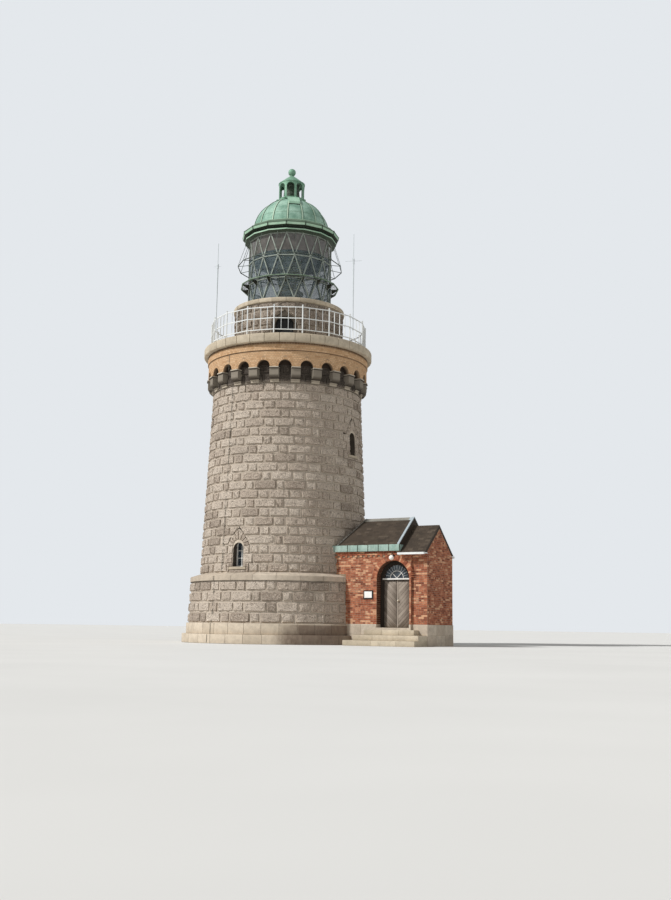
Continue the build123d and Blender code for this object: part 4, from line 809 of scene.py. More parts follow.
def make_finishes(colours):
    """All finishes of the object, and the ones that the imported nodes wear."""
    colour = {key: tuple(getattr(colours, key)) + (1.0,) for key in colours.__annotations__}
    FINISHES.update({
        "rock": rock_granite("rock_faced_granite", colour["granite"], "b8a898", "75685d"),
        # Recess stones: a darker copy of the granite as painted shade, with near-black painted shade towards
        # the top
        "recess": rock_granite("recess_granite", "a89a8b", "938576", "6b5f55",
                               ((SHAFT_TOP - 0.06, SHAFT_TOP + 0.14), 0.8)),
        "drum": rock_granite("drum_granite", "a09386", "8c7f72", "5d534a"),
        "dressed": granite("dressed_granite", "cbbeac", "bdaf9d", "978b7d", 0.35),
        "coping": granite("coping_granite", "c9bca6", "baad97", "998d7b", 0.3),
        "corbel": corbel_granite(),
        "base": base_granite(),
        "mortar": mortar("stone_joints", "5d554b", "403a33"),
        # Buff bricks with painted shadow under the band and under the coping
        "buff": brickwork("buff_bricks", ("bf9a74", colour["buff_brick"], "d2b18c", "b68f68"), 0.12,
                          ((ARCADE_TOP, 0.05), (BAND_TOP, 0.13))),
        # Buff joints with painted shade deep inside the arches
        "buff_mortar": mortar("buff_joints", "b0967a", "8f775f", soot_and_shade=True),
        # Red bricks with painted shade deep in the doorway
        "red": brickwork("red_bricks", ("703a2a", colour["red_brick"], "b26f51", "d2a07d"), 0.3, recess=True),
        "red_mortar": mortar("red_joints", "a08b75", "7a6654"),
        "copper": patina("cap_copper", "7fa38b", "5f8770", "465f4c", 0.55),
        "fascia": patina("fascia_copper", "a3b8ae", "869f95", "666b5f", 0.6),
        "dome": seamed_copper(colour["copper"]),
        "cornice": cornice_copper(),
        "hatch": hatch_copper(),
        # Copper darkened as painted shade, for the fascia seams, the gutter joints and the ventilator's inner
        # shaft
        "dark_copper": patina("shaded_copper", "3c4a3c", "2f3a30", "26221c", 0.4, 0.1),
        "lead": roof_lead(),
        "lattice": patina("lantern_metal", "989e95", "7b837b", "4f554c", 0.45, 0.2),
        "rail": patina("handrail_metal", "4a524b", "383f3a", "2a2622", 0.4, 0.3),
        "deck": catwalk_metal("catwalk_grating", True),
        "brackets": catwalk_metal("catwalk_brackets", False),
        "white": paint("white_paint", "e6e8e6", "9a7f66", "c3c6c2"),
        "grey": paint("grey_paint", "d3d9dc", "9a958d", "bcc2c4", 0.15),
        "iron": paint("black_iron", "2b2c2c", "5a4436", "3d3d3b", 0.4, 0.5, 0.3),
        "strap": patina("conductor_metal", "5f584e", "4b443b", "38322b", 0.3, 0.3),
        "joinery": paint("white_joinery", "e4e2dc", "a2978a", "c9c6bd", 0.2, 0.5),
        "boards": chevron_boards("door_boards", colour["boards"], "5f564d"),
        # Door frame: near-black wood as painted shade of the deep doorway
        "frame_wood": plain_wood("door_frame_wood", "3b342d", "241f1b"),
        "leaf_wood": plain_wood("door_leaf_wood", "6b6158", "453d36"),
        "strip": plain_wood("cover_strip_wood", "b7ab9d", "8c8175"),
        "knob": paint("knob_metal", "cfc6b4", "8c7c62", "a89c86", 0.3, 0.4, 0.5),
        "slates": slates(colour["slate"]),
        "glass": window_glass("lantern_panes", "46555a", 0.36, upper="55514c"),
        # Shaft windows and fanlight: nearly opaque dark panes as painted shade of the dark space behind
        "dark_glass": window_glass("dark_panes", "2d3540", 0.88),
        "lens": lens_glass(),
        "brass": patina("optic_brass", "86774a", "6f6440", "453f29", 0.3, 0.6),
        "opal": opal(),
        "sheet": paint("bare_sheet", "f0efeb", "c9c2b4", "dedbd3", 0.15, 0.6),
    })
    for finish, names in WEARS.items():
        for name in names.split():
            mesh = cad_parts[name].data
            mesh.materials.clear()
            mesh.materials.append(FINISHES[finish])


def turn_between(a, b):
    """Shortest turn between two azimuths, in radians."""
    return abs((a - b + pi) % (2 * pi) - pi)


def bonded_joints(circumference, bond, start, rng):
    """Azimuths of the upright joints where long and short stones take turns round a course."""
    pair, share = bond
    count = round(circumference / pair)
    pitch = 2 * pi / count
    joints = []
    for i in range(count):
        a = (i + start) * pitch
        joints.append(a + rng.uniform(-0.05, 0.05) * pitch)
        joints.append(a + (share + rng.uniform(-0.06, 0.06)) * pitch)
    return sorted(a % (2 * pi) for a in joints)


def course_cells(joints, gaps, least):
    """Stones between joints as ((left low, left high), (right low, right high)), cut back at each gap."""
    edges = [(a, a, False) for a in joints]
    for centre, low, high in gaps:
        reach = max(low, high) + least
        edges = [e for e in edges if turn_between(e[0], centre) > reach]
        edges.append((centre - low, centre - high, True))
        edges.append((centre + low, centre + high, False))
    edges.sort(key=lambda e: (e[0] + e[1]) / 2)
    first = tuple(a + 2 * pi for a in edges[0][:2])
    return [(here[:2], after[:2]) for here, after in zip(edges, edges[1:] + [first]) if not here[2]]


def stone_course(layer, blocks, low, high, cells, joint):
    """Lay one course of stones, each with an open joint around it."""
    place = ring(low, high)
    radius, height = (low[0] + high[0]) / 2, hypot(high[0] - low[0], high[1] - low[1])
    side, bed = joint / 2 / radius, joint / 2 / height
    for (l0, l1), (r0, r1) in cells:
        width = ((r0 - l0) + (r1 - l1)) / 2 * radius
        family = blocks[0] if width > LONG_STONE else blocks[-1]
        block = family[layer.rng.integers(len(family))]
        corners = ((l0 + side, bed), (r0 - side, bed), (r1 - side, 1 - bed), (l1 + side, 1 - bed))
        layer.lay(block, corners, place)


def window_arch(sill):
    """Springing and peak of a window's pointed head."""
    return sill + WINDOW_HEIGHT - WINDOW_HALF, sill + WINDOW_HEIGHT + WINDOW_PEAK


def window_gap(sill, row, z0, z1):
    """Half widths, low and high, of the dressed stones in a course; 0 where it is clear of them."""
    spring, peak = window_arch(sill)
    if z1 <= sill - SILL_HEIGHT or z0 >= peak:
        return 0, 0
    if z0 < spring - 0.1:
        half = LONG_QUOIN if row % 2 else HEAD_HALF
        return half, half
    shares = [min(1, max(0, (z - spring) / (peak - spring))) for z in (z0, z1)]
    return tuple(HEAD_HALF * (1 - share ** HEAD_SWELL) ** (1 / HEAD_SWELL) for share in shares)


def rock_blocks(masonry):
    """Rock-faced stones with drafted margins, several of each length."""
    rings = ((masonry.margin + 0.028, 0.056), (masonry.margin, 0.012), (0, 0.01), (0, -0.02))
    return [[shaped_block((length, COURSE), (cells, 3), rings, 0.026, seed) for seed in seeds]
            for length, cells, seeds in ((0.88, 6, range(1, 8)), (0.4, 3, range(11, 17)))]


def rock_wall(masonry, blocks, rng, wall, rows, openings=None, bond=None, least=0.16, full=1.0):
    """Lay a wall's courses of rock-faced stones, broken at its openings of (azimuth, half widths)."""
    layer = Layer(rng)
    foot, top = wall[0][1], wall[1][1]
    height = (top - foot) / rows
    bond = bond or (masonry.pair, masonry.long_share)
    for row in range(rows):
        z0, z1 = foot + row * height, foot + (row + full) * height
        low, high = ((wall_radius(wall, z), z) for z in (z0, z1))
        gaps = [(radians(azimuth), below / low[0], above / high[0])
                for azimuth, (below, above) in (openings(row, z0, z1) if openings else ()) if below]
        joints = bonded_joints(2 * pi * low[0], bond, 0.5 * (row % 2), rng)
        stone_course(layer, blocks, low, high, course_cells(joints, gaps, least / low[0]), masonry.joint)
    return layer


class LIGHTHOUSE_OT_finishes(bpy.types.Operator):
    """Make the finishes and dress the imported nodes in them"""
    bl_idname = "lighthouse.finishes"
    bl_label = "Finishes"

    def execute(self, context):
        make_finishes(context.scene.lighthouse_colours)
        return {"FINISHED"}


class LIGHTHOUSE_OT_shaft(bpy.types.Operator):
    """Lay the rock-faced courses of the shaft, the plinth and the drum"""
    bl_idname = "lighthouse.shaft"
    bl_label = "Rock-faced courses"

    def execute(self, context):
        masonry = context.scene.lighthouse_masonry
        common = masonry, rock_blocks(masonry), np.random.default_rng(masonry.seed)

        def windows(row, z0, z1):
            return [(azimuth, window_gap(sill, row, z0, z1)) for azimuth, sill in WINDOWS]

        def upper_door(row, z0, z1):
            rises = [z - GALLERY_Z - GALLERY_DOOR_SPRING for z in (z0, z1)]
            return [(GALLERY_DOOR_AZIMUTH, [half_chord(GALLERY_DOOR_HALF + 0.15, rise) for rise in rises])]

        shaft = rock_wall(*common, SHAFT_WALL, COURSES, windows)
        shaft.piece("shaft_stones", "granite", "rock")
        recess = rock_wall(*common, RECESS_WALL, RECESS_ROWS, full=0.99)
        recess.piece("recess_stones", "granite", "recess")
        plinth = rock_wall(*common, PLINTH_WALL, PLINTH_ROWS, lambda row, z0, z1: [(90, (0.5, 0.5))])
        plinth.piece("plinth_stones", "granite", "rock")
        drum = rock_wall(*common, DRUM_WALL, DRUM_ROWS, upper_door, (1.0, 0.64), 0.1)
        drum.piece("drum_stones", "granite", "drum")
        return {"FINISHED"}


def even_course(layer, block, low, high, count, joint, lift=0.0, skip=None, start=0.0):
    """Lay a ring of equal stones, lifted out of the wall's face and turned by a share of one where asked."""
    place = ring(low, high)
    radius, height = max(low[0], high[0]), hypot(high[0] - low[0], high[1] - low[1])
    side, bed = joint / 2 / radius, joint / 2 / height
    pitch = 2 * pi / count
    raised = Block(block.points + (0, 0, lift), block.faces)
    for i in range(count):
        left = (i + start) * pitch
        if not skip or turn_between(left + pitch / 2, skip[0]) >= skip[1]:
            layer.oblong(raised, left + side, left + pitch - side, bed, 1 - bed, place)


class LIGHTHOUSE_OT_dressed(bpy.types.Operator):
    """Lay the smooth stones: footing, base, belt, gallery coping, curb and window surrounds"""
    bl_idname = "lighthouse.dressed"
    bl_label = "Dressed stones"

    def execute(self, context):
        masonry = context.scene.lighthouse_masonry
        rng = np.random.default_rng(masonry.seed + 1)
        gap = masonry.joint * 0.7
        base = Layer(rng)
        deep = slab_block(0.75, 0.36, 0.32, 0.02)
        even_course(base, deep, (FOOTING_R, 0), (FOOTING_R, FOOTING_TOP + 0.012), 34, gap, 0.008)
        wide = slab_block(0.7, BASE_TOP - FOOTING_TOP, 0.2, 0.025)
        even_course(base, wide, (BASE_R, FOOTING_TOP), (BASE_R, BASE_TOP + 0.008), 36, gap, 0.01,
                    (radians(90), radians(7)))
        base.piece("base_stones", "dressed_granite", "base")
        belt = Layer()
        face = shaped_block((0.95, 0.195), (5, 1), ((0.01, 0.012), (0, 0.004), (0, -0.02)))
        for low, high in (((BELT_R, PLINTH_TOP), (BELT_R, BELT_FACE_TOP)),
                          ((BELT_R + 0.01, BELT_FACE_TOP), (SHAFT_FOOT_R, BELT_TOP + 0.004))):
            belt.rng = np.random.default_rng(masonry.seed + 2)
            even_course(belt, face, low, high, 26, gap)
        belt.piece("belt_stones", "dressed_granite", "dressed")
        gallery = Layer(rng)
        slab = slab_block(0.64, COPING_HEIGHT, COPING_R - COPING_INNER_R, 0.05, 0.012)
        even_course(gallery, slab, (COPING_R, BAND_TOP), (COPING_R, GALLERY_Z), 36, gap * 1.6, start=0.62)
        gallery.piece("coping_slabs", "dressed_granite", "coping", replaces=("gallery_coping",))
        curb = Layer(rng)
        stone = slab_block(0.6, CURB_HEIGHT, CURB_R - CURB_INNER_R, 0.03)
        even_course(curb, stone, (CURB_R, DRUM_TOP), (CURB_R, CURB_TOP), 25, gap)
        curb.piece("curb_stones", "dressed_granite", "coping", replaces=("drum_curb",))
        self.windows(gap, rng)
        self.corbel_feet(rng)
        return {"FINISHED"}

    def corbel_feet(self, rng):
        """A small square stone under each corbel."""
        feet, width, top = Layer(rng), 0.36, ROLL_FOOT - 0.062
        foot = slab_block(width, top - SHAFT_TOP, 0.14, 0.012, lengths=2)
        place = ring((RECESS_R + 0.075, SHAFT_TOP), (RECESS_R + 0.075, top))
        half = width / 2 / RECESS_R
        for i in range(ARCHES):
            middle = (i + 0.5) * 2 * pi / ARCHES
            feet.oblong(foot, middle - half, middle + half, 0, 1, place)
        feet.piece("corbel_feet", "dressed_granite", "corbel")

    def windows(self, gap, rng):
        """Long and short quoins, pointed voussoirs and a projecting sill at each window."""
        stones, sills, voussoirs = Layer(rng), Layer(rng), 8
        quoin = shaped_block((0.4, COURSE), (3, 2),
                             ((0.04, 0.055), (0.02, 0.034), (0, 0.03), (0, -0.02)), 0.02, 5)
        sill_stone = shaped_block((2 * SILL_HALF, SILL_HEIGHT), (4, 1),
                                  ((0.012, 0.075), (0, 0.065), (0, -0.02)))
        side = gap / 2
        for azimuth, sill in WINDOWS:
            centre = radians(azimuth)
            spring, peak = window_arch(sill)

            def place(x, z, d):
                r = shaft_radius(z) + d
                a = centre + x / shaft_radius(z)
                return np.stack((r * np.sin(a), -r * np.cos(a), z), axis=1)

            def on_point(angle):
                reach = ((abs(cos(angle)) / HEAD_HALF) ** HEAD_SWELL
                         + (abs(sin(angle)) / (peak - spring)) ** HEAD_SWELL) ** (-1 / HEAD_SWELL)
                return reach * cos(angle), spring + reach * sin(angle)

            for row in range(COURSES):
                z0, z1 = BELT_TOP + row * COURSE, BELT_TOP + (row + 1) * COURSE
                far = window_gap(sill, row, z0, z1)[0]
                if not far or z0 >= spring - 0.1:
                    continue
                bottom = z0 < sill
                near = SILL_HALF if bottom else WINDOW_HALF
                for sign in (-1, 1):
                    left, right = sorted((sign * near, sign * far))
                    stones.oblong(quoin, left + side, right - side, z0 + side, min(z1, spring) - side, place)
                    if bottom:
                        left, right = sorted((sign * WINDOW_HALF, sign * SILL_HALF))
                        stones.oblong(quoin, left, right, sill + side, z1 - side, place)
                if bottom:
                    stones.oblong(quoin, side - SILL_HALF, SILL_HALF - side, z0 + side,
                                  sill - SILL_HEIGHT - side, place)
            sills.oblong(sill_stone, -SILL_HALF, SILL_HALF, sill - SILL_HEIGHT, sill - 0.004, place)
            trim = side / WINDOW_HALF
            for i in range(voussoirs):
                a0, a1 = pi - pi * i / voussoirs - trim, pi - pi * (i + 1) / voussoirs + trim
                inner = [(WINDOW_HALF * cos(a), spring + WINDOW_HALF * sin(a)) for a in (a0, a1)]
                stones.lay(quoin, (*inner, on_point(a1), on_point(a0)), place)
        stones.piece("window_stones", "dressed_granite", "rock")
        sills.piece("window_sills", "dressed_granite", "coping")


def brick_block(size, proud=0.004):
    return shaped_block(size, (1, 1), ((0.004, proud), (0, proud - 0.003), (0, -0.008)))


def arch_bricks(count, joint):
    """Angles, left and right, of each brick over a round arch."""
    return [(pi * (count - i) / count - joint, pi * (count - i - 1) / count + joint) for i in range(count)]


class LIGHTHOUSE_OT_arcade(bpy.types.Operator):
    """Lay the buff bricks of the arcade and of the band over it"""
    bl_idname = "lighthouse.arcade"
    bl_label = "Brick arcade"

    def execute(self, context):
        bricks = context.scene.lighthouse_bricks
        length = (bricks.length - bricks.joint) / 2
        block = brick_block((length, bricks.height))
        layer = Layer(np.random.default_rng(bricks.seed))
        crown_r = ARCH_R + 0.11
        centres = [radians(360 / ARCHES * i) for i in range(ARCHES)]

        def rows(radius, foot, top, arched):
            count = round((top - foot) / (bricks.height + bricks.joint))
            height = (top - foot) / count
            per_ring = round(2 * pi * radius / (length + bricks.joint))
            for row in range(count):
                z0, z1 = foot + row * height, foot + (row + 1) * height
                joints = [(i + 0.5 * (row % 2)) * 2 * pi / per_ring for i in range(per_ring)]
                low, high = (half_chord(crown_r, z - ARCH_CENTRE_Z) / radius for z in (z0, z1))
                gaps = [(centre, low, high) for centre in centres] if arched and low else []
                cells = course_cells(joints, gaps, 0.04 / radius)
                stone_course(layer, ([block],), (radius, z0), (radius, z1), cells, bricks.joint)

        rows(ARCADE_R, SPRING_Z, ARCADE_TOP, True)
        rows(BAND_R, ARCADE_TOP, BAND_TOP, False)
        header = brick_block((bricks.height, 0.11), 0.007)
        face = ring((ARCADE_R, 0.0), (ARCADE_R, 1.0))
        outer = crown_r - 0.008
        for centre in centres:
            for a0, a1 in arch_bricks(13, 0.03):
                corners = [(centre + r * cos(a) / ARCADE_R, ARCH_CENTRE_Z + r * sin(a))
                           for r, a in ((ARCH_R, a0), (ARCH_R, a1), (outer, a1), (outer, a0))]
                layer.lay(header, corners, face)
        layer.piece("arcade_bricks", "yellow_brick", "buff")
        return {"FINISHED"}


def brick_wall(layer, block, bricks, place, low, high, left, right, opening=None):
    """Rows of bricks between two ends, numbers or functions of the height, round an arched opening."""
    count = round((high - low) / (bricks.height + bricks.joint))
    height = (high - low) / count
    pitch, half = bricks.length + bricks.joint, bricks.joint / 2
    for row in range(count):
        z0, z1 = low + row * height, low + (row + 1) * height
        start, end = (side((z0 + z1) / 2) if callable(side) else side for side in (left, right))
        runs = [(start, end, None, None)]
        if opening:
            centre, jamb, spring, ring_r = opening
            below, above = (half_chord(ring_r, z - spring) if z0 >= spring else jamb for z in (z0, z1))
            if below:
                runs = [(start, centre - below, None, centre - above),
                        (centre + below, end, centre + above, None)]
        for start, end, top_start, top_end in runs:
            joints = [start]
            x = start - start % pitch + pitch * (0.5 if row % 2 else 0)
            while x < end - 0.05:
                if x > start + 0.05:
                    joints.append(x)
                x += pitch * (1.0 if row % 6 else 0.5)
            joints.append(end)
            for i, (a, b) in enumerate(zip(joints, joints[1:])):
                top_a = a if i or top_start is None else min(top_start, b - 0.03)
                top_b = b if i < len(joints) - 2 or top_end is None else max(top_end, a + 0.03)
                layer.lay(block, ((a + half, z0 + half), (b - half, z0 + half), (top_b - half, z1 - half),
                                  (top_a + half, z1 - half)), place)


def tower_side(y):
    """Where the tower's face stands at a distance from its axis, as a function of the height."""
    return lambda z: sqrt((BELT_R if z < BELT_TOP else shaft_radius(z) + 0.02) ** 2 - y ** 2)


class LIGHTHOUSE_OT_wing_walls(bpy.types.Operator):
    """Lay the red bricks and the granite plinth of the entrance wing"""
    bl_idname = "lighthouse.wing_walls"
    bl_label = "Wing walls"

    def execute(self, context):
        bricks = context.scene.lighthouse_bricks
        block = brick_block((bricks.length, bricks.height))
        layer = Layer(np.random.default_rng(bricks.seed + 1))
        ring_r, dentil_foot = DOOR_HALF + DOOR_RING, WALL_TOP - 3 * DENTIL_ROW
        pier_front, deep = WING_FRONT + PIER_SETBACK, DOOR_FACE - WING_FRONT
        front, end = flat((0, WING_FRONT, 0)), flat((WING_END, 0, 0), (0, 1, 0))
        walls = (
            (front, STONE_TOP, dentil_foot, tower_side(WING_FRONT), PIER_X,
             (DOOR_X, DOOR_HALF, DOOR_SPRING, ring_r)),
            (flat((0, pier_front, 0)), STONE_TOP, STRIP_WALL_TOP, PIER_X, WING_END),
            (front, dentil_foot, dentil_foot + bricks.height + bricks.joint, VERGE, PIER_X),
            (flat((0, WING_BACK, 0), (-1, 0, 0)), STONE_TOP, WALL_TOP,
             lambda z: -(WING_END if z < STRIP_WALL_TOP else VERGE), lambda z: -tower_side(WING_BACK)(z)),
            (end, STONE_TOP, STRIP_WALL_TOP, pier_front, WING_BACK),
            (end, STRIP_WALL_TOP, GABLE_PEAK - 0.06,
             lambda z: max(GABLE_FRONT, (z - GABLE_PEAK) / tan(SLOPE)),
             lambda z: min(GABLE_BACK, (GABLE_PEAK - z) / tan(SLOPE))),
            (flat((PIER_X, WING_FRONT, 0), (0, 1, 0)), STONE_TOP, STRIP_WALL_TOP, 0, PIER_SETBACK),
            (flat((DOOR_X - DOOR_HALF, WING_FRONT, 0), (0, 1, 0)), STONE_TOP, DOOR_SPRING, 0, deep),
            (flat((DOOR_X + DOOR_HALF, DOOR_FACE, 0), (0, -1, 0)), STONE_TOP, DOOR_SPRING, 0, deep),
        )
        for wall in walls:
            brick_wall(layer, block, bricks, *wall)
        self.arch(layer, front, ring_r, bricks)
        self.cornice(layer, front, tower_side(WING_FRONT)(WALL_TOP), dentil_foot, bricks)
        layer.piece("wing_bricks", "red_brick", "red")
        self.gable_corners()
        self.plinth(context.scene.lighthouse_masonry)
        return {"FINISHED"}

    def gable_corners(self):
        """Plain corners under the eaves, where the gable's rows of bricks end."""
        backing, behind = Layer(), flat((WING_END - 0.003, 0, 0), (0, 1, 0))
        for y0, y1 in GABLE_CORNERS:
            low, high = (GABLE_PEAK - abs(y) * tan(SLOPE) for y in (y0, y1))
            backing.lay(slab_block(0.4, 0.3, 0.1, 0.002),
                        ((y0, STRIP_WALL_TOP), (y1, STRIP_WALL_TOP), (y1, high), (y0, low)), behind)
        backing.piece("gable_corners", "red_brick", "red_mortar")

    def arch(self, layer, front, ring_r, bricks):
        """Voussoirs over the door, on the wall's face and under the arch."""
        header = brick_block((bricks.height, DOOR_RING), 0.008)
        depth = 0.17
        soffit_brick = brick_block((depth, bricks.height))

        def soffit(u, v, d):
            r = DOOR_HALF - d
            return np.stack((DOOR_X + r * np.cos(v), DOOR_FACE - u, DOOR_SPRING + r * np.sin(v)), axis=1)

        for a0, a1 in arch_bricks(34, 0.005):
            outer = [min(ring_r, (PIER_X - DOOR_X) / max(cos(a), 0.01)) - 0.01 for a in (a1, a0)]
            corners = [(DOOR_X + r * cos(a), DOOR_SPRING + r * sin(a))
                       for r, a in ((DOOR_HALF, a0), (DOOR_HALF, a1), (outer[0], a1), (outer[1], a0))]
            layer.lay(header, corners, front)
            for k in range(2):
                layer.oblong(soffit_brick, depth * k + 0.005, depth * (k + 1) - 0.005, a1, a0, soffit)

    def cornice(self, layer, front, left, foot, bricks):
        """Dentils under a projecting double course."""
        tooth, brick = (shaped_block(size, (1, 1), ((0.004, proud + 0.004), (0, proud), (0, -0.01)))
                        for size, proud in (((DENTIL_WIDTH, DENTIL_ROW), 0.03),
                                            ((bricks.length, bricks.height), 0.036)))
        x, pitch = left, bricks.length + bricks.joint
        while x + 1.5 * pitch < VERGE:
            tone = 0.6 + 0.4 * layer.rng.random()
            layer.oblong(tooth, x, x + DENTIL_WIDTH, foot + 0.005, foot + 0.07, front, tone)
            for row in (1, 2):
                start, bed = x + 0.5 * pitch * (row % 2), foot + DENTIL_ROW * row
                layer.oblong(brick, start, start + bricks.length, bed + 0.005, bed + 0.07, front)
            x += pitch

    def plinth(self, masonry):
        """Two courses of dressed granite under the brick walls."""
        layer = Layer(np.random.default_rng(masonry.seed + 3))
        length, course, gap = 0.8, 0.4175, 0.004
        stone = shaped_block((length, 0.41), (1, 1), ((0.015, 0.01), (0, 0.0), (0, -0.02)))
        y, end = WING_FRONT - STONE_PROUD, WING_END + STONE_PROUD
        faces = (
            (flat((0, y, 0)), 3.8, DOOR_X - DOOR_HALF),
            (flat((0, y, 0)), DOOR_X + DOOR_HALF, PIER_X),
            (flat((0, y + PIER_SETBACK, 0)), PIER_X, end),
            (flat((0, -y, 0), (-1, 0, 0)), -end, -3.85),
            (flat((end, 0, 0), (0, 1, 0)), y + PIER_SETBACK, -y),
        )
        for place, left, right in faces:
            for row in range(2):
                count = max(1, round((right - left) / length + 0.3 * row))
                pitch = (right - left) / count
                for i in range(count):
                    layer.oblong(stone, left + i * pitch + gap, left + (i + 1) * pitch - gap,
                                 course * row + gap, course * (row + 1) - gap, place)
        layer.piece("wing_plinth_stones", "dressed_granite", "dressed")


class LIGHTHOUSE_OT_roof(bpy.types.Operator):
    """Hang the slates and the copper of the entrance wing's roof"""
    bl_idname = "lighthouse.roof"
    bl_label = "Wing roof"

    def execute(self, context):
        roof = context.scene.lighthouse_roof
        layer = Layer(np.random.default_rng(roof.seed))
        width, lap = roof.slate_width, roof.exposure * 1.3
        slate = shaped_block((width, lap), (1, 1), ((0.004, 0.007), (0, 0.004), (0, -0.004)),
                             tilt=-radians(2.6))
        length, steep = EAVES_REACH / cos(SLOPE), hypot(HIP_RUN, ROOF_RISE)

        def rows(place, left, right, reach=length):
            """Rows of slates up a slope between two ends that depend on the way up."""
            count = round(reach / roof.exposure)
            for row in range(count):
                v0 = row * reach / count
                v1 = min(reach, v0 + lap)
                start, end = left(v0), right(v0)
                x = start - ((start % width) + width * (0.5 if row % 2 else 0))
                while x < end:
                    a, b = max(x, start), min(x + width, end)
                    if b - a > 0.05:
                        slack = layer.rng.uniform(-0.004, 0.004)
                        layer.oblong(slate, a + 0.002, b - 0.002, v0 + slack, v1, place)
                    x += width

        def slope(side, eaves):
            """Slope over the front, side -1, or the back, side 1."""
            return flat((0, side * EAVES_REACH, eaves), (-side, 0, 0), (0, -side * cos(SLOPE), sin(SLOPE)))

        def hip_left(v):
            return RIDGE_X - HIP_RUN + HIP_RUN * v / length

        def narrow(v):
            return EAVES_REACH * (1 - v / steep) - 0.02

        rows(slope(-1, EAVES_TOP), hip_left, lambda v: VERGE - 0.09)
        rows(slope(1, EAVES_TOP), lambda v: 0.09 - VERGE, lambda v: -hip_left(v))
        rows(slope(-1, STRIP_EAVES), lambda v: VERGE + 0.002, lambda v: WING_END)
        rows(slope(1, STRIP_EAVES), lambda v: -WING_END, lambda v: -VERGE - 0.002)
        hip = flat((RIDGE_X - HIP_RUN, 0, EAVES_TOP), (0, -1, 0), (HIP_RUN / steep, 0, ROOF_RISE / steep))
        rows(hip, lambda v: -narrow(v), narrow, steep)
        layer.piece("slate_rows", "slate", "slates", angle=20)
        self.copper()
        return {"FINISHED"}

    def copper(self):
        """Copper sheets on the eaves with their seams, and lead-like strips down the hips."""
        layer, seams = Layer(np.random.default_rng(5)), Layer()
        sheet = shaped_block((0.45, 0.24), (1, 1), ((0.03, 0.008), (0.006, 0.005), (0, -0.002)))
        seam = shaped_block((0.03, 0.24), (1, 1), ((0.006, 0.018), (0, 0.012), (0, -0.002)))
        height, left, count = EAVES_TOP - WALL_TOP, 3.42, 6
        pitch = (VERGE - left) / count
        for sign in (-1, 1):
            place = flat((0, sign * EAVES_REACH, WALL_TOP), (-sign, 0, 0))
            for i in range(count):
                a, b = sorted((-sign * (left + i * pitch), -sign * (left + (i + 1) * pitch)))
                layer.oblong(sheet, a + 0.012, b - 0.012, 0.006, height - 0.004, place)
                seams.oblong(seam, b - 0.015, b + 0.015, 0.0, height, place)
        layer.piece("fascia_sheets", "copper", "fascia")
        seams.piece("fascia_seams", "copper", "dark_copper")
        strips = []
        for sign in (-1, 1):
            out = Vector((-0.5, sign * 0.4, 1)).normalized()
            start = Vector((RIDGE_X - HIP_RUN, sign * EAVES_REACH, EAVES_TOP)) + out * 0.02
            end = Vector((RIDGE_X, 0, EAVES_TOP + ROOF_RISE)) + out * 0.02
            strips.append(bar(start, end, 0.13, 0.025, out))
        finish_piece(strips, "hip_flashings", "copper", "lead")


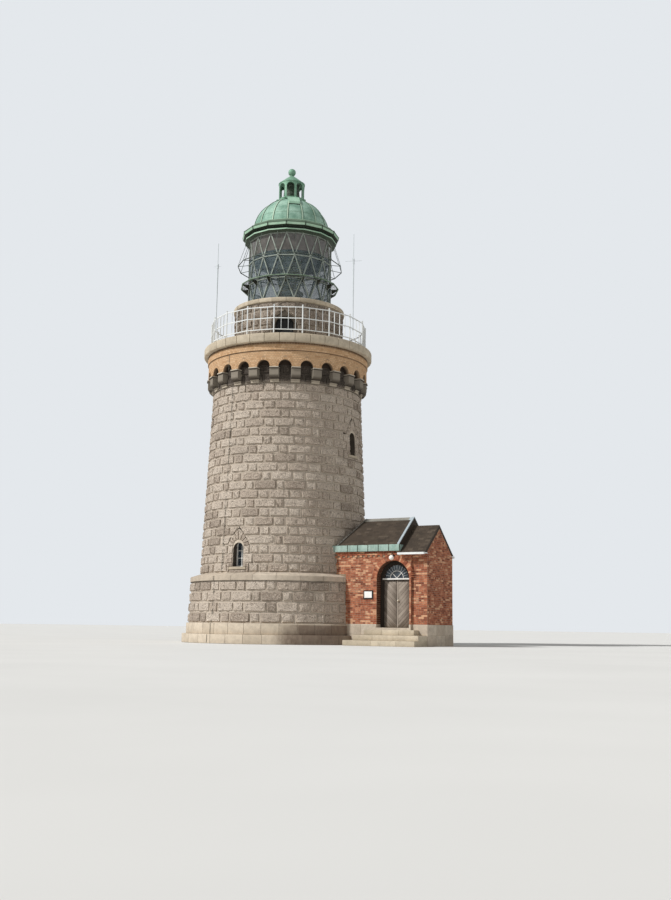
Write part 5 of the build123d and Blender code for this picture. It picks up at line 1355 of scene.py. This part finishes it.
class LIGHTHOUSE_OT_door(bpy.types.Operator):
    """Board the door leaves and glaze the fanlight"""
    bl_idname = "lighthouse.door"
    bl_label = "Door and fanlight"

    def execute(self, context):
        for sign, name, body in ((-1, "left", "left_door"), (1, "right", "right_door")):
            self.boards(sign, f"door_boards_{name}", body)
        self.knob()
        self.fanlight()
        return {"FINISHED"}

    def knob(self):
        """Pale knob of the right leaf, its rose, and the strip that covers the meeting of the leaves."""
        middle = Vector((DOOR_X + 0.0615, LEAF_FRONT, LEAF_FOOT + 1.05))
        rose = rod(middle - Vector((0, 0.018, 0)), middle, 0.042, 16)
        ball = primitive("cube", size=0.09)
        apply_modifier(ball, "SUBSURF", levels=3, render_levels=3)
        edit(ball)
        bpy.ops.transform.tosphere(value=1)
        scale_mesh(1.0, 0.95, 1.0)
        leave_edit()
        ball.matrix_world = Matrix.Translation(middle - Vector((0, 0.05, 0)))
        finish_piece([rose, place_in_mesh(ball)], "door_knob", "bronze", "knob", "right_door", 40)
        x, y = DOOR_X + 0.026, LEAF_FRONT - 0.01
        strip = bar((x, y, LEAF_FOOT + 0.006), (x, y, LEAF_HEAD - 0.006), 0.034, 0.022, (0, -1, 0))
        finish_piece([strip], "door_cover_strip", "weathered_wood", "strip", "right_door")

    def boards(self, sign, name, body):
        """Diagonal boards trimmed to the leaf, falling to the meeting of the leaves."""
        layer = Layer(np.random.default_rng(20 + sign))
        width, gap, reach, s = 0.115, 0.007, 1.2, sin(radians(45))
        low, high = LEAF_FOOT + 0.004, LEAF_HEAD - 0.004
        near, far = DOOR_X + (0.012 if sign > 0 else -0.02), DOOR_X + sign * (LEAF_HALF - 0.004)
        board = slab_block(2.0, width - gap, 0.011, 0.003, 0.002, 1)
        board = Block(board.points + (0, 0, 0.009), board.faces)
        face = flat((near, LEAF_FRONT, (low + high) / 2), (s, 0, sign * s), (-sign * s, 0, s))
        for i in range(-14, 15):
            tone = 0.35 * (i % 2) + 0.5 * layer.rng.random()
            layer.oblong(board, -reach, reach, i * width + gap / 2, (i + 1) * width - gap / 2, face, tone)
        edit(layer.piece(name, "weathered_wood", "boards", body=body))
        left, right = sorted((near, far))
        for value, axis, way in ((left, 0, -1), (right, 0, 1), (low, 2, -1), (high, 2, 1)):
            point, normal = [0, 0, 0], [0, 0, 0]
            point[axis], normal[axis] = value, way
            bpy.ops.mesh.select_all(action="SELECT")
            bpy.ops.mesh.bisect(plane_co=point, plane_no=normal, use_fill=True, clear_outer=True,
                                clear_inner=False)
        leave_edit()

    def fanlight(self):
        """White transom, and the half ring, rays and fan bars of the light over it."""
        front, ring_r, glass_r = (0, -1, 0), 0.29, 0.52

        def at(radius, angle, y=DOOR_FACE + 0.03):
            return Vector((DOOR_X + radius * cos(angle), y, FANLIGHT_Z + radius * sin(angle)))

        transom = [Vector((DOOR_X + x, DOOR_FACE - 0.012, FANLIGHT_Z - 0.032)) for x in (-0.6, 0.6)]
        parts = [bar(*transom, 0.06, 0.05, front)]
        parts += chain([at(ring_r, pi * i / 16) for i in range(17)], bar, 0.022, 0.026, front)
        parts += [bar(at(0, a), at(ring_r, a), 0.022, 0.026, front) for a in (radians(45), radians(135))]
        finish_piece(parts, "fanlight_bars", "painted_wood", "joinery")
        rays = [bar(*(at(r, pi * i / 12, DOOR_FACE + 0.034) for r in (ring_r, glass_r)), 0.012, 0.02, front)
                for i in range(1, 12)]
        finish_piece(rays, "fanlight_rays", "painted_wood", "grey")


class LIGHTHOUSE_OT_fittings(bpy.types.Operator):
    """Make the lamp, notice, steps, window bars, conductor, aerials and upper door"""
    bl_idname = "lighthouse.fittings"
    bl_label = "Fittings"

    def execute(self, context):
        for make in (self.lamp, self.notice, self.steps, self.window_bars, self.conductor, self.aerials,
                     self.gallery_door):
            make()
        return {"FINISHED"}

    def lamp(self):
        """Opal globe under its cap, and a dark curved arm from the wall."""
        y = WING_FRONT - LAMP_REACH
        globe = primitive("uv_sphere", segments=32, ring_count=20, radius=LAMP_R - 0.002,
                          location=(LAMP_X, y, LAMP_Z))
        place_in_mesh(globe)
        edit(globe)
        select_where(globe, "polygons", lambda ends: all(e.z > LAMP_Z + 0.085 for e in ends))
        bpy.ops.mesh.extrude_region_move(TRANSFORM_OT_translate={"value": (0, 0, 0.012)})
        leave_edit()
        finish_piece([globe], "lamp_globe", "opal_glass", "opal", angle=50, replaces=("entrance_lamp",))
        top = LAMP_Z + 0.09
        parts = [rod((LAMP_X, y, top - 0.012), (LAMP_X, y, top + 0.016), 0.05, 16, 0.034)]
        foot = top + 0.015
        arc = [Vector((LAMP_X, y + (LAMP_REACH - 0.02) * i / 8, foot + 0.075 * sin(pi * i / 8) ** 0.8))
               for i in range(9)]
        parts += chain(arc, rod, 0.013)
        parts.append(rod((LAMP_X, WING_FRONT - 0.03, foot), (LAMP_X, WING_FRONT, foot), 0.055, 16))
        finish_piece(parts, "lamp_arm", "dark_iron", "iron")

    def notice(self):
        """Bare sheet within the dark frame."""
        layer = Layer()
        sheet = shaped_block((0.34, 0.26), (4, 3), ((0.01, 0.008), (0, 0.006), (0, 0.0)), 0.002, 3)
        layer.oblong(sheet, -0.165, 0.165, -0.125, 0.125, flat((NOTICE_X, WING_FRONT - 0.03, NOTICE_Z)))
        layer.piece("notice_sheet", "painted_wood", "sheet")

    def steps(self):
        """Granite treads in lengths, with worn front edges."""
        face = WING_FRONT - STONE_PROUD - 0.0003
        layer = Layer(np.random.default_rng(31))
        for index, shares in enumerate(((0.36, 0.7), (0.3, 0.62), (0.4, 0.75))):
            left, right = STEP_LEFT - 0.285 * index, WING_END if index else TOP_STEP_RIGHT
            high, low, depth = STEP_TOPS[index], STEP_TOPS[index + 1], STEP_DEPTH * (index + 1)
            joints = [left] + [left + (right - left) * share for share in shares] + [right]
            place = flat((0, face - depth, 0))
            tread = slab_block(0.8, high - low, depth, 0.018)
            for a, b in zip(joints, joints[1:]):
                layer.oblong(tread, a + 0.002, b - 0.002, low + 0.001, high, place)
            fill = slab_block(0.5, high - low, PIER_SETBACK, 0.01)
            layer.oblong(fill, PIER_X + 0.012, right - 0.002, low + 0.001, high - 0.001, flat((0, face, 0)))
        layer.piece("step_stones", "dressed_granite", "coping", replaces=("entrance_steps",))

    def window_bars(self):
        """Glazing bars in front of each shaft window's pane."""
        parts = []
        for azimuth, sill in WINDOWS:
            out, side = around(1, azimuth), around(1, azimuth + 90) * 0.2
            foot = out * (shaft_radius(sill + WINDOW_HEIGHT) - 0.255) + up(sill)
            for rise in (0.36, 0.66):
                parts.append(bar(foot - side + up(rise), foot + side + up(rise), 0.032, 0.03, out))
            parts.append(bar(foot + up(0.05), foot + up(1.04), 0.032, 0.034, out))
        finish_piece(parts, "window_bars", "painted_wood", "joinery")

    def conductor(self):
        """Copper strap down the masonry, held by clips."""
        parts = []
        out, side = around(1, CONDUCTOR_AZIMUTH), around(1, CONDUCTOR_AZIMUTH + 90) * 0.035
        lines = (((ARCADE_R, SPRING_Z), (ARCADE_R, ARCADE_TOP), 0.012), (*SHAFT_WALL, 0.056),
                 ((BELT_R, PLINTH_TOP), (BELT_R, BELT_FACE_TOP), 0.02), (*PLINTH_WALL, 0.056),
                 ((BASE_R, FOOTING_TOP), (BASE_R, BASE_TOP), 0.018),
                 ((FOOTING_R, 0.02), (FOOTING_R, FOOTING_TOP), 0.016))
        for (r1, z1), (r0, z0), proud in lines:
            upper, lower = out * (r0 + proud) + up(z0 - 0.01), out * (r1 + proud) + up(z1 + 0.01)
            parts.append(bar(upper, lower, 0.022, 0.008, out))
            clips = int((z0 - z1) / 0.75)
            for i in range(clips):
                at = upper.lerp(lower, (i + 0.5) / clips)
                parts.append(bar(at - side, at + side, 0.03, 0.016, out))
        finish_piece(parts, "conductor_strap", "dark_iron", "strap", replaces=("lightning_conductor",))

    def aerials(self):
        """Aerials on the railing: a stout mast up to the joint, small radials and a thin whip."""
        parts = []
        for azimuth, joint, top, radial in ((-35, 3.51, 4.56, 0.16), (85, 3.69, 4.91, 0.36)):
            from_middle = (azimuth - RAIL_TURN) % (2 * HALF_BAY) - HALF_BAY
            reach = (RAIL_R * cos(radians(HALF_BAY)) + 0.0353) / cos(radians(from_middle))
            at = around(reach, azimuth, GALLERY_Z + joint)
            for turn in (20, 110):
                arm = around(radial, turn)
                parts.append(rod(at - arm, at + arm, 0.009, 6))
            parts.append(rod(at - up(0.1), at + up(0.1), 0.044, 10))
            parts.append(rod(at - up(joint - 0.6), at, 0.02, 10, 0.034))
            parts.append(rod(at, at + up(top - joint), 0.016, 8))
        finish_piece(parts, "aerial_masts", "grey_metal", "grey", replaces=("aerials",))

    def gallery_door(self):
        """Upright boards and strap hinges on the low iron door."""
        out, side = around(1, GALLERY_DOOR_AZIMUTH), around(1, GALLERY_DOOR_AZIMUTH + 90)
        face = out * (DRUM_R - 0.225) + up(GALLERY_Z)
        parts = []
        for i in range(5):
            x = -0.28 + 0.14 * i
            board = face + side * x
            parts.append(bar(board + up(0.03), board + up(0.6 + half_chord(0.36, abs(x))), 0.125, 0.02, out))
        for z in (0.25, 0.75):
            strap = face + out * 0.014 + up(z)
            parts.append(bar(strap - side * 0.3, strap + side * 0.3, 0.05, 0.012, out))
        finish_piece(parts, "gallery_door_boards", "dark_iron", "iron")


class LIGHTHOUSE_OT_lantern(bpy.types.Operator):
    """Build the optic's prisms and the small work of the dome and ventilator"""
    bl_idname = "lighthouse.lantern"
    bl_label = "Lantern details"

    def execute(self, context):
        for make in (self.optic, self.vent_knobs, self.gutter_joints, self.vent_baffle):
            make()
        return {"FINISHED"}

    def optic(self):
        """Stacked prism rings, widest at the belt, within a brass cage."""
        foot, height, widest, count = CURB_TOP + 0.9, 1.9, 0.6, 17

        def hoop(radius, z, thickness, sides):
            torus = primitive("torus", major_radius=radius, minor_radius=thickness, major_segments=32,
                              minor_segments=sides, location=(0, 0, z))
            return place_in_mesh(torus)

        rings = []
        for i in range(count):
            share = (i + 0.5) / count
            rings.append((widest * (1 - 0.42 * (2 * share - 1) ** 2), foot + height * share))
        prisms = [hoop(radius - 0.035, z, 0.04, 4) for radius, z in rings]
        finish_piece(prisms, "optic_prisms", "lens_glass", "lens", replaces=("optic_lens",))
        cage = []
        for azimuth in range(10, 370, 45):
            line = [around(radius + 0.015, azimuth, z) for radius, z in rings[::2]]
            cage += chain(line, bar, 0.03, 0.03, around(1, azimuth))
        cage += [hoop(*rings[i], 0.02, 6) for i in (0, 5, 11, -1)]
        finish_piece(cage, "optic_cage", "bronze", "brass")

    def gutter_joints(self):
        """Copper cover over the joint at each corner of the gutter."""
        parts = []
        for k in range(SIDES):
            azimuth = LANTERN_TURN + 360 / SIDES * k
            foot = around(GUTTER_R - 0.025, azimuth, GUTTER_Z + 0.002)
            head = around(GUTTER_R, azimuth, GUTTER_Z + GUTTER_HEIGHT + 0.004)
            parts.append(bar(foot, head, 0.05, 0.022, around(1, azimuth)))
        finish_piece(parts, "gutter_joints", "copper", "dark_copper")

    def vent_baffle(self):
        """Inner shaft in painted shade that shows through the ventilator's openings."""
        foot, head = VENT_Z + 0.041, CAP_Z - 0.004
        outline = ((0.0, foot), (0.4, foot), (0.37, VENT_Z + 0.3), (0.33, CAP_Z - 0.06), (0.36, head),
                   (0.0, head))
        finish_piece([turned_solid(outline, 24)], "vent_baffle", "copper", "dark_copper", angle=40)

    def vent_knobs(self):
        """A knob at the foot of each pier of the ventilator."""
        outline = ((0.0, 0.0), (0.075, 0.0), (0.06, 0.03), (0.045, 0.05), (0.07, 0.085), (0.06, 0.13),
                   (0.0, 0.155))
        knob = harvest(turned_solid(outline, 12))
        layer = Layer()
        for k in range(8):
            at = around(VENT_R + 0.07, LANTERN_TURN + 45 * k, VENT_Z - 0.035)
            layer.add(knob.points + np.array(at), knob.faces)
        layer.piece("vent_knobs", "copper", "copper")


class LIGHTHOUSE_OT_stage(bpy.types.Operator):
    """Set up the floor, the lamps and the camera"""
    bl_idname = "lighthouse.stage"
    bl_label = "Stage"

    def execute(self, context):
        stage = context.scene.lighthouse_stage
        floor = primitive("plane", size=600)
        floor.name = "floor"
        f = Finish("pale_floor")
        colour = f.over("dddcd8", (f.noise(0.2, 3).share(0.3, 0.7), "d8d7d3"))
        floor.data.materials.append(f.surface(colour, 0.9))
        self.world(stage)
        self.lamp("key", stage.key, 4, -36, 42)
        self.lamp("fill", stage.fill, 60, 60, 30)
        self.camera()
        context.scene.view_settings.view_transform = "Standard"
        return {"FINISHED"}

    def lamp(self, name, energy, spread, azimuth, height):
        """Sun lamp at an azimuth and a height over the ground, in degrees."""
        light = bpy.data.lights.new(name, "SUN")
        light.energy, light.angle = energy, radians(spread)
        toward = around(1, azimuth) * cos(radians(height)) + up(sin(radians(height)))
        lamp = bpy.data.objects.new(name, light)
        lamp.rotation_euler = toward.to_track_quat("Z", "Y").to_euler()
        bpy.context.collection.objects.link(lamp)

    def world(self, stage):
        """Even sky that the camera, metal and glass see as a pale backdrop."""
        world = bpy.data.worlds.new("studio")
        bpy.context.scene.world = world
        world.use_nodes = True
        sky = Nodes(world.node_tree)
        light = sky.nodes["Background"]
        sky.plug(light.inputs["Color"], linear("f6f7f9"))
        sky.plug(light.inputs["Strength"], stage.sky)
        seen = sky.add("Background", None, {"Color": linear("e4e8ec"), "Strength": 1.0})
        camera, glossy, through = (sky.add("LightPath", output=f"Is {ray} Ray")
                                   for ray in ("Camera", "Glossy", "Transmission"))
        either = camera.math("MAXIMUM", glossy).math("MAXIMUM", through)
        mixed = sky.add("MixShader", None, {0: either, 1: Value(sky, light.outputs[0]), 2: seen})
        sky.plug(sky.nodes["World Output"].inputs["Surface"], mixed)

    def camera(self):
        """Camera at the photograph's place and angle."""
        forward = Vector((sin(YAW) * cos(PITCH), cos(YAW) * cos(PITCH), sin(PITCH)))
        level = forward.cross(up(1)).normalized()
        above = level.cross(forward)
        right, top = level * cos(ROLL) + above * sin(ROLL), above * cos(ROLL) - level * sin(ROLL)
        axes = Matrix((right, top, -forward)).transposed().to_4x4()
        data = bpy.data.cameras.new("camera")
        data.sensor_fit, data.sensor_height, data.sensor_width = "VERTICAL", SENSOR, SENSOR
        data.lens = FOCAL_PIXELS / IMAGE_HEIGHT * SENSOR
        data.clip_end = 1000
        camera = bpy.data.objects.new("camera", data)
        camera.matrix_world = Matrix.Translation(CAMERA_AT) @ Matrix.Rotation(TURN, 4, "Z") @ axes
        bpy.context.collection.objects.link(camera)
        bpy.context.scene.camera = camera


def length_setting(name, description, default):
    return FloatProperty(name=name, description=description, default=default, unit="LENGTH")


def seed_setting(what, default):
    return IntProperty(name="Seed", description=f"Picks the mix of {what}", default=default)


def lamp_setting(name, what, default):
    return FloatProperty(name=name, description=f"Strength of the {what}", default=default)


def colour_setting(name, description, code):
    return FloatVectorProperty(name=name, description=description, size=3, subtype="COLOR",
                               default=linear(code)[:3], min=0, max=1)


class LighthouseMasonry(bpy.types.PropertyGroup):
    """Sizes of the granite stones"""
    pair: length_setting("Pair of stones", "Length of a long and a short stone together", 1.28)
    long_share: FloatProperty(name="Long stone", description="Share of a pair that the long stone takes",
                              default=0.68, subtype="FACTOR", min=0.5, max=0.9)
    joint: length_setting("Joint", "Width of the joints between stones", 0.014)
    margin: length_setting("Drafted margin", "Width of the smooth margin round a rock face", 0.028)
    seed: seed_setting("stones", 7)


class LighthouseBricks(bpy.types.PropertyGroup):
    """Sizes of the bricks"""
    length: length_setting("Length", "Length of a brick", 0.215)
    height: length_setting("Height", "Height of a brick", 0.062)
    joint: length_setting("Joint", "Width of the mortar joints", 0.012)
    seed: seed_setting("bricks", 3)


class LighthouseRoof(bpy.types.PropertyGroup):
    """Sizes of the slates"""
    slate_width: length_setting("Slate width", "Width of one slate", 0.22)
    exposure: length_setting("Exposure", "Visible height of a row of slates", 0.115)
    seed: seed_setting("slates", 9)


class LighthouseColours(bpy.types.PropertyGroup):
    """Main colours"""
    granite: colour_setting("Granite", "Paler rock-faced stones", "d0c2b2")
    buff_brick: colour_setting("Buff brick", "Commonest bricks of the arcade", "c8a47e")
    red_brick: colour_setting("Red brick", "Commonest bricks of the entrance wing", "a25e44")
    copper: colour_setting("Copper", "Paler patches of the dome", "99b8a6")
    slate: colour_setting("Slate", "Darker slates", "3a322a")
    boards: colour_setting("Boards", "Paler boards of the door", "a99d90")


class LighthouseStage(bpy.types.PropertyGroup):
    """Strength of the lamps"""
    key: lamp_setting("Key", "key light", 3.4)
    fill: lamp_setting("Fill", "fill light", 0.25)
    sky: lamp_setting("Sky", "even sky light", 0.34)


GROUPS = {"lighthouse_masonry": LighthouseMasonry, "lighthouse_bricks": LighthouseBricks,
          "lighthouse_roof": LighthouseRoof, "lighthouse_colours": LighthouseColours,
          "lighthouse_stage": LighthouseStage}
OPERATORS = (LIGHTHOUSE_OT_finishes, LIGHTHOUSE_OT_shaft, LIGHTHOUSE_OT_dressed, LIGHTHOUSE_OT_arcade,
             LIGHTHOUSE_OT_wing_walls, LIGHTHOUSE_OT_roof, LIGHTHOUSE_OT_door, LIGHTHOUSE_OT_fittings,
             LIGHTHOUSE_OT_lantern, LIGHTHOUSE_OT_stage)


class LIGHTHOUSE_PT_panel(bpy.types.Panel):
    """Lists the lighthouse's pieces"""
    bl_idname = "LIGHTHOUSE_PT_panel"
    bl_label = "Lighthouse"
    bl_space_type = "VIEW_3D"
    bl_region_type = "UI"
    bl_category = "Lighthouse"

    def draw(self, context):
        for name, group in GROUPS.items():
            box = self.layout.box()
            for key in group.__annotations__:
                box.prop(getattr(context.scene, name), key)
        for operator in OPERATORS:
            self.layout.operator(operator.bl_idname)


def register():
    for kind in (*GROUPS.values(), *OPERATORS, LIGHTHOUSE_PT_panel):
        bpy.utils.register_class(kind)
    for name, group in GROUPS.items():
        setattr(bpy.types.Scene, name, PointerProperty(type=group))


def unregister():
    for name in GROUPS:
        delattr(bpy.types.Scene, name)
    for kind in (LIGHTHOUSE_PT_panel, *OPERATORS, *GROUPS.values()):
        bpy.utils.unregister_class(kind)


def main():
    register()
    for operator in OPERATORS:
        family, name = operator.bl_idname.split(".")
        getattr(getattr(bpy.ops, family), name)()


if __name__ == "__main__":
    main()
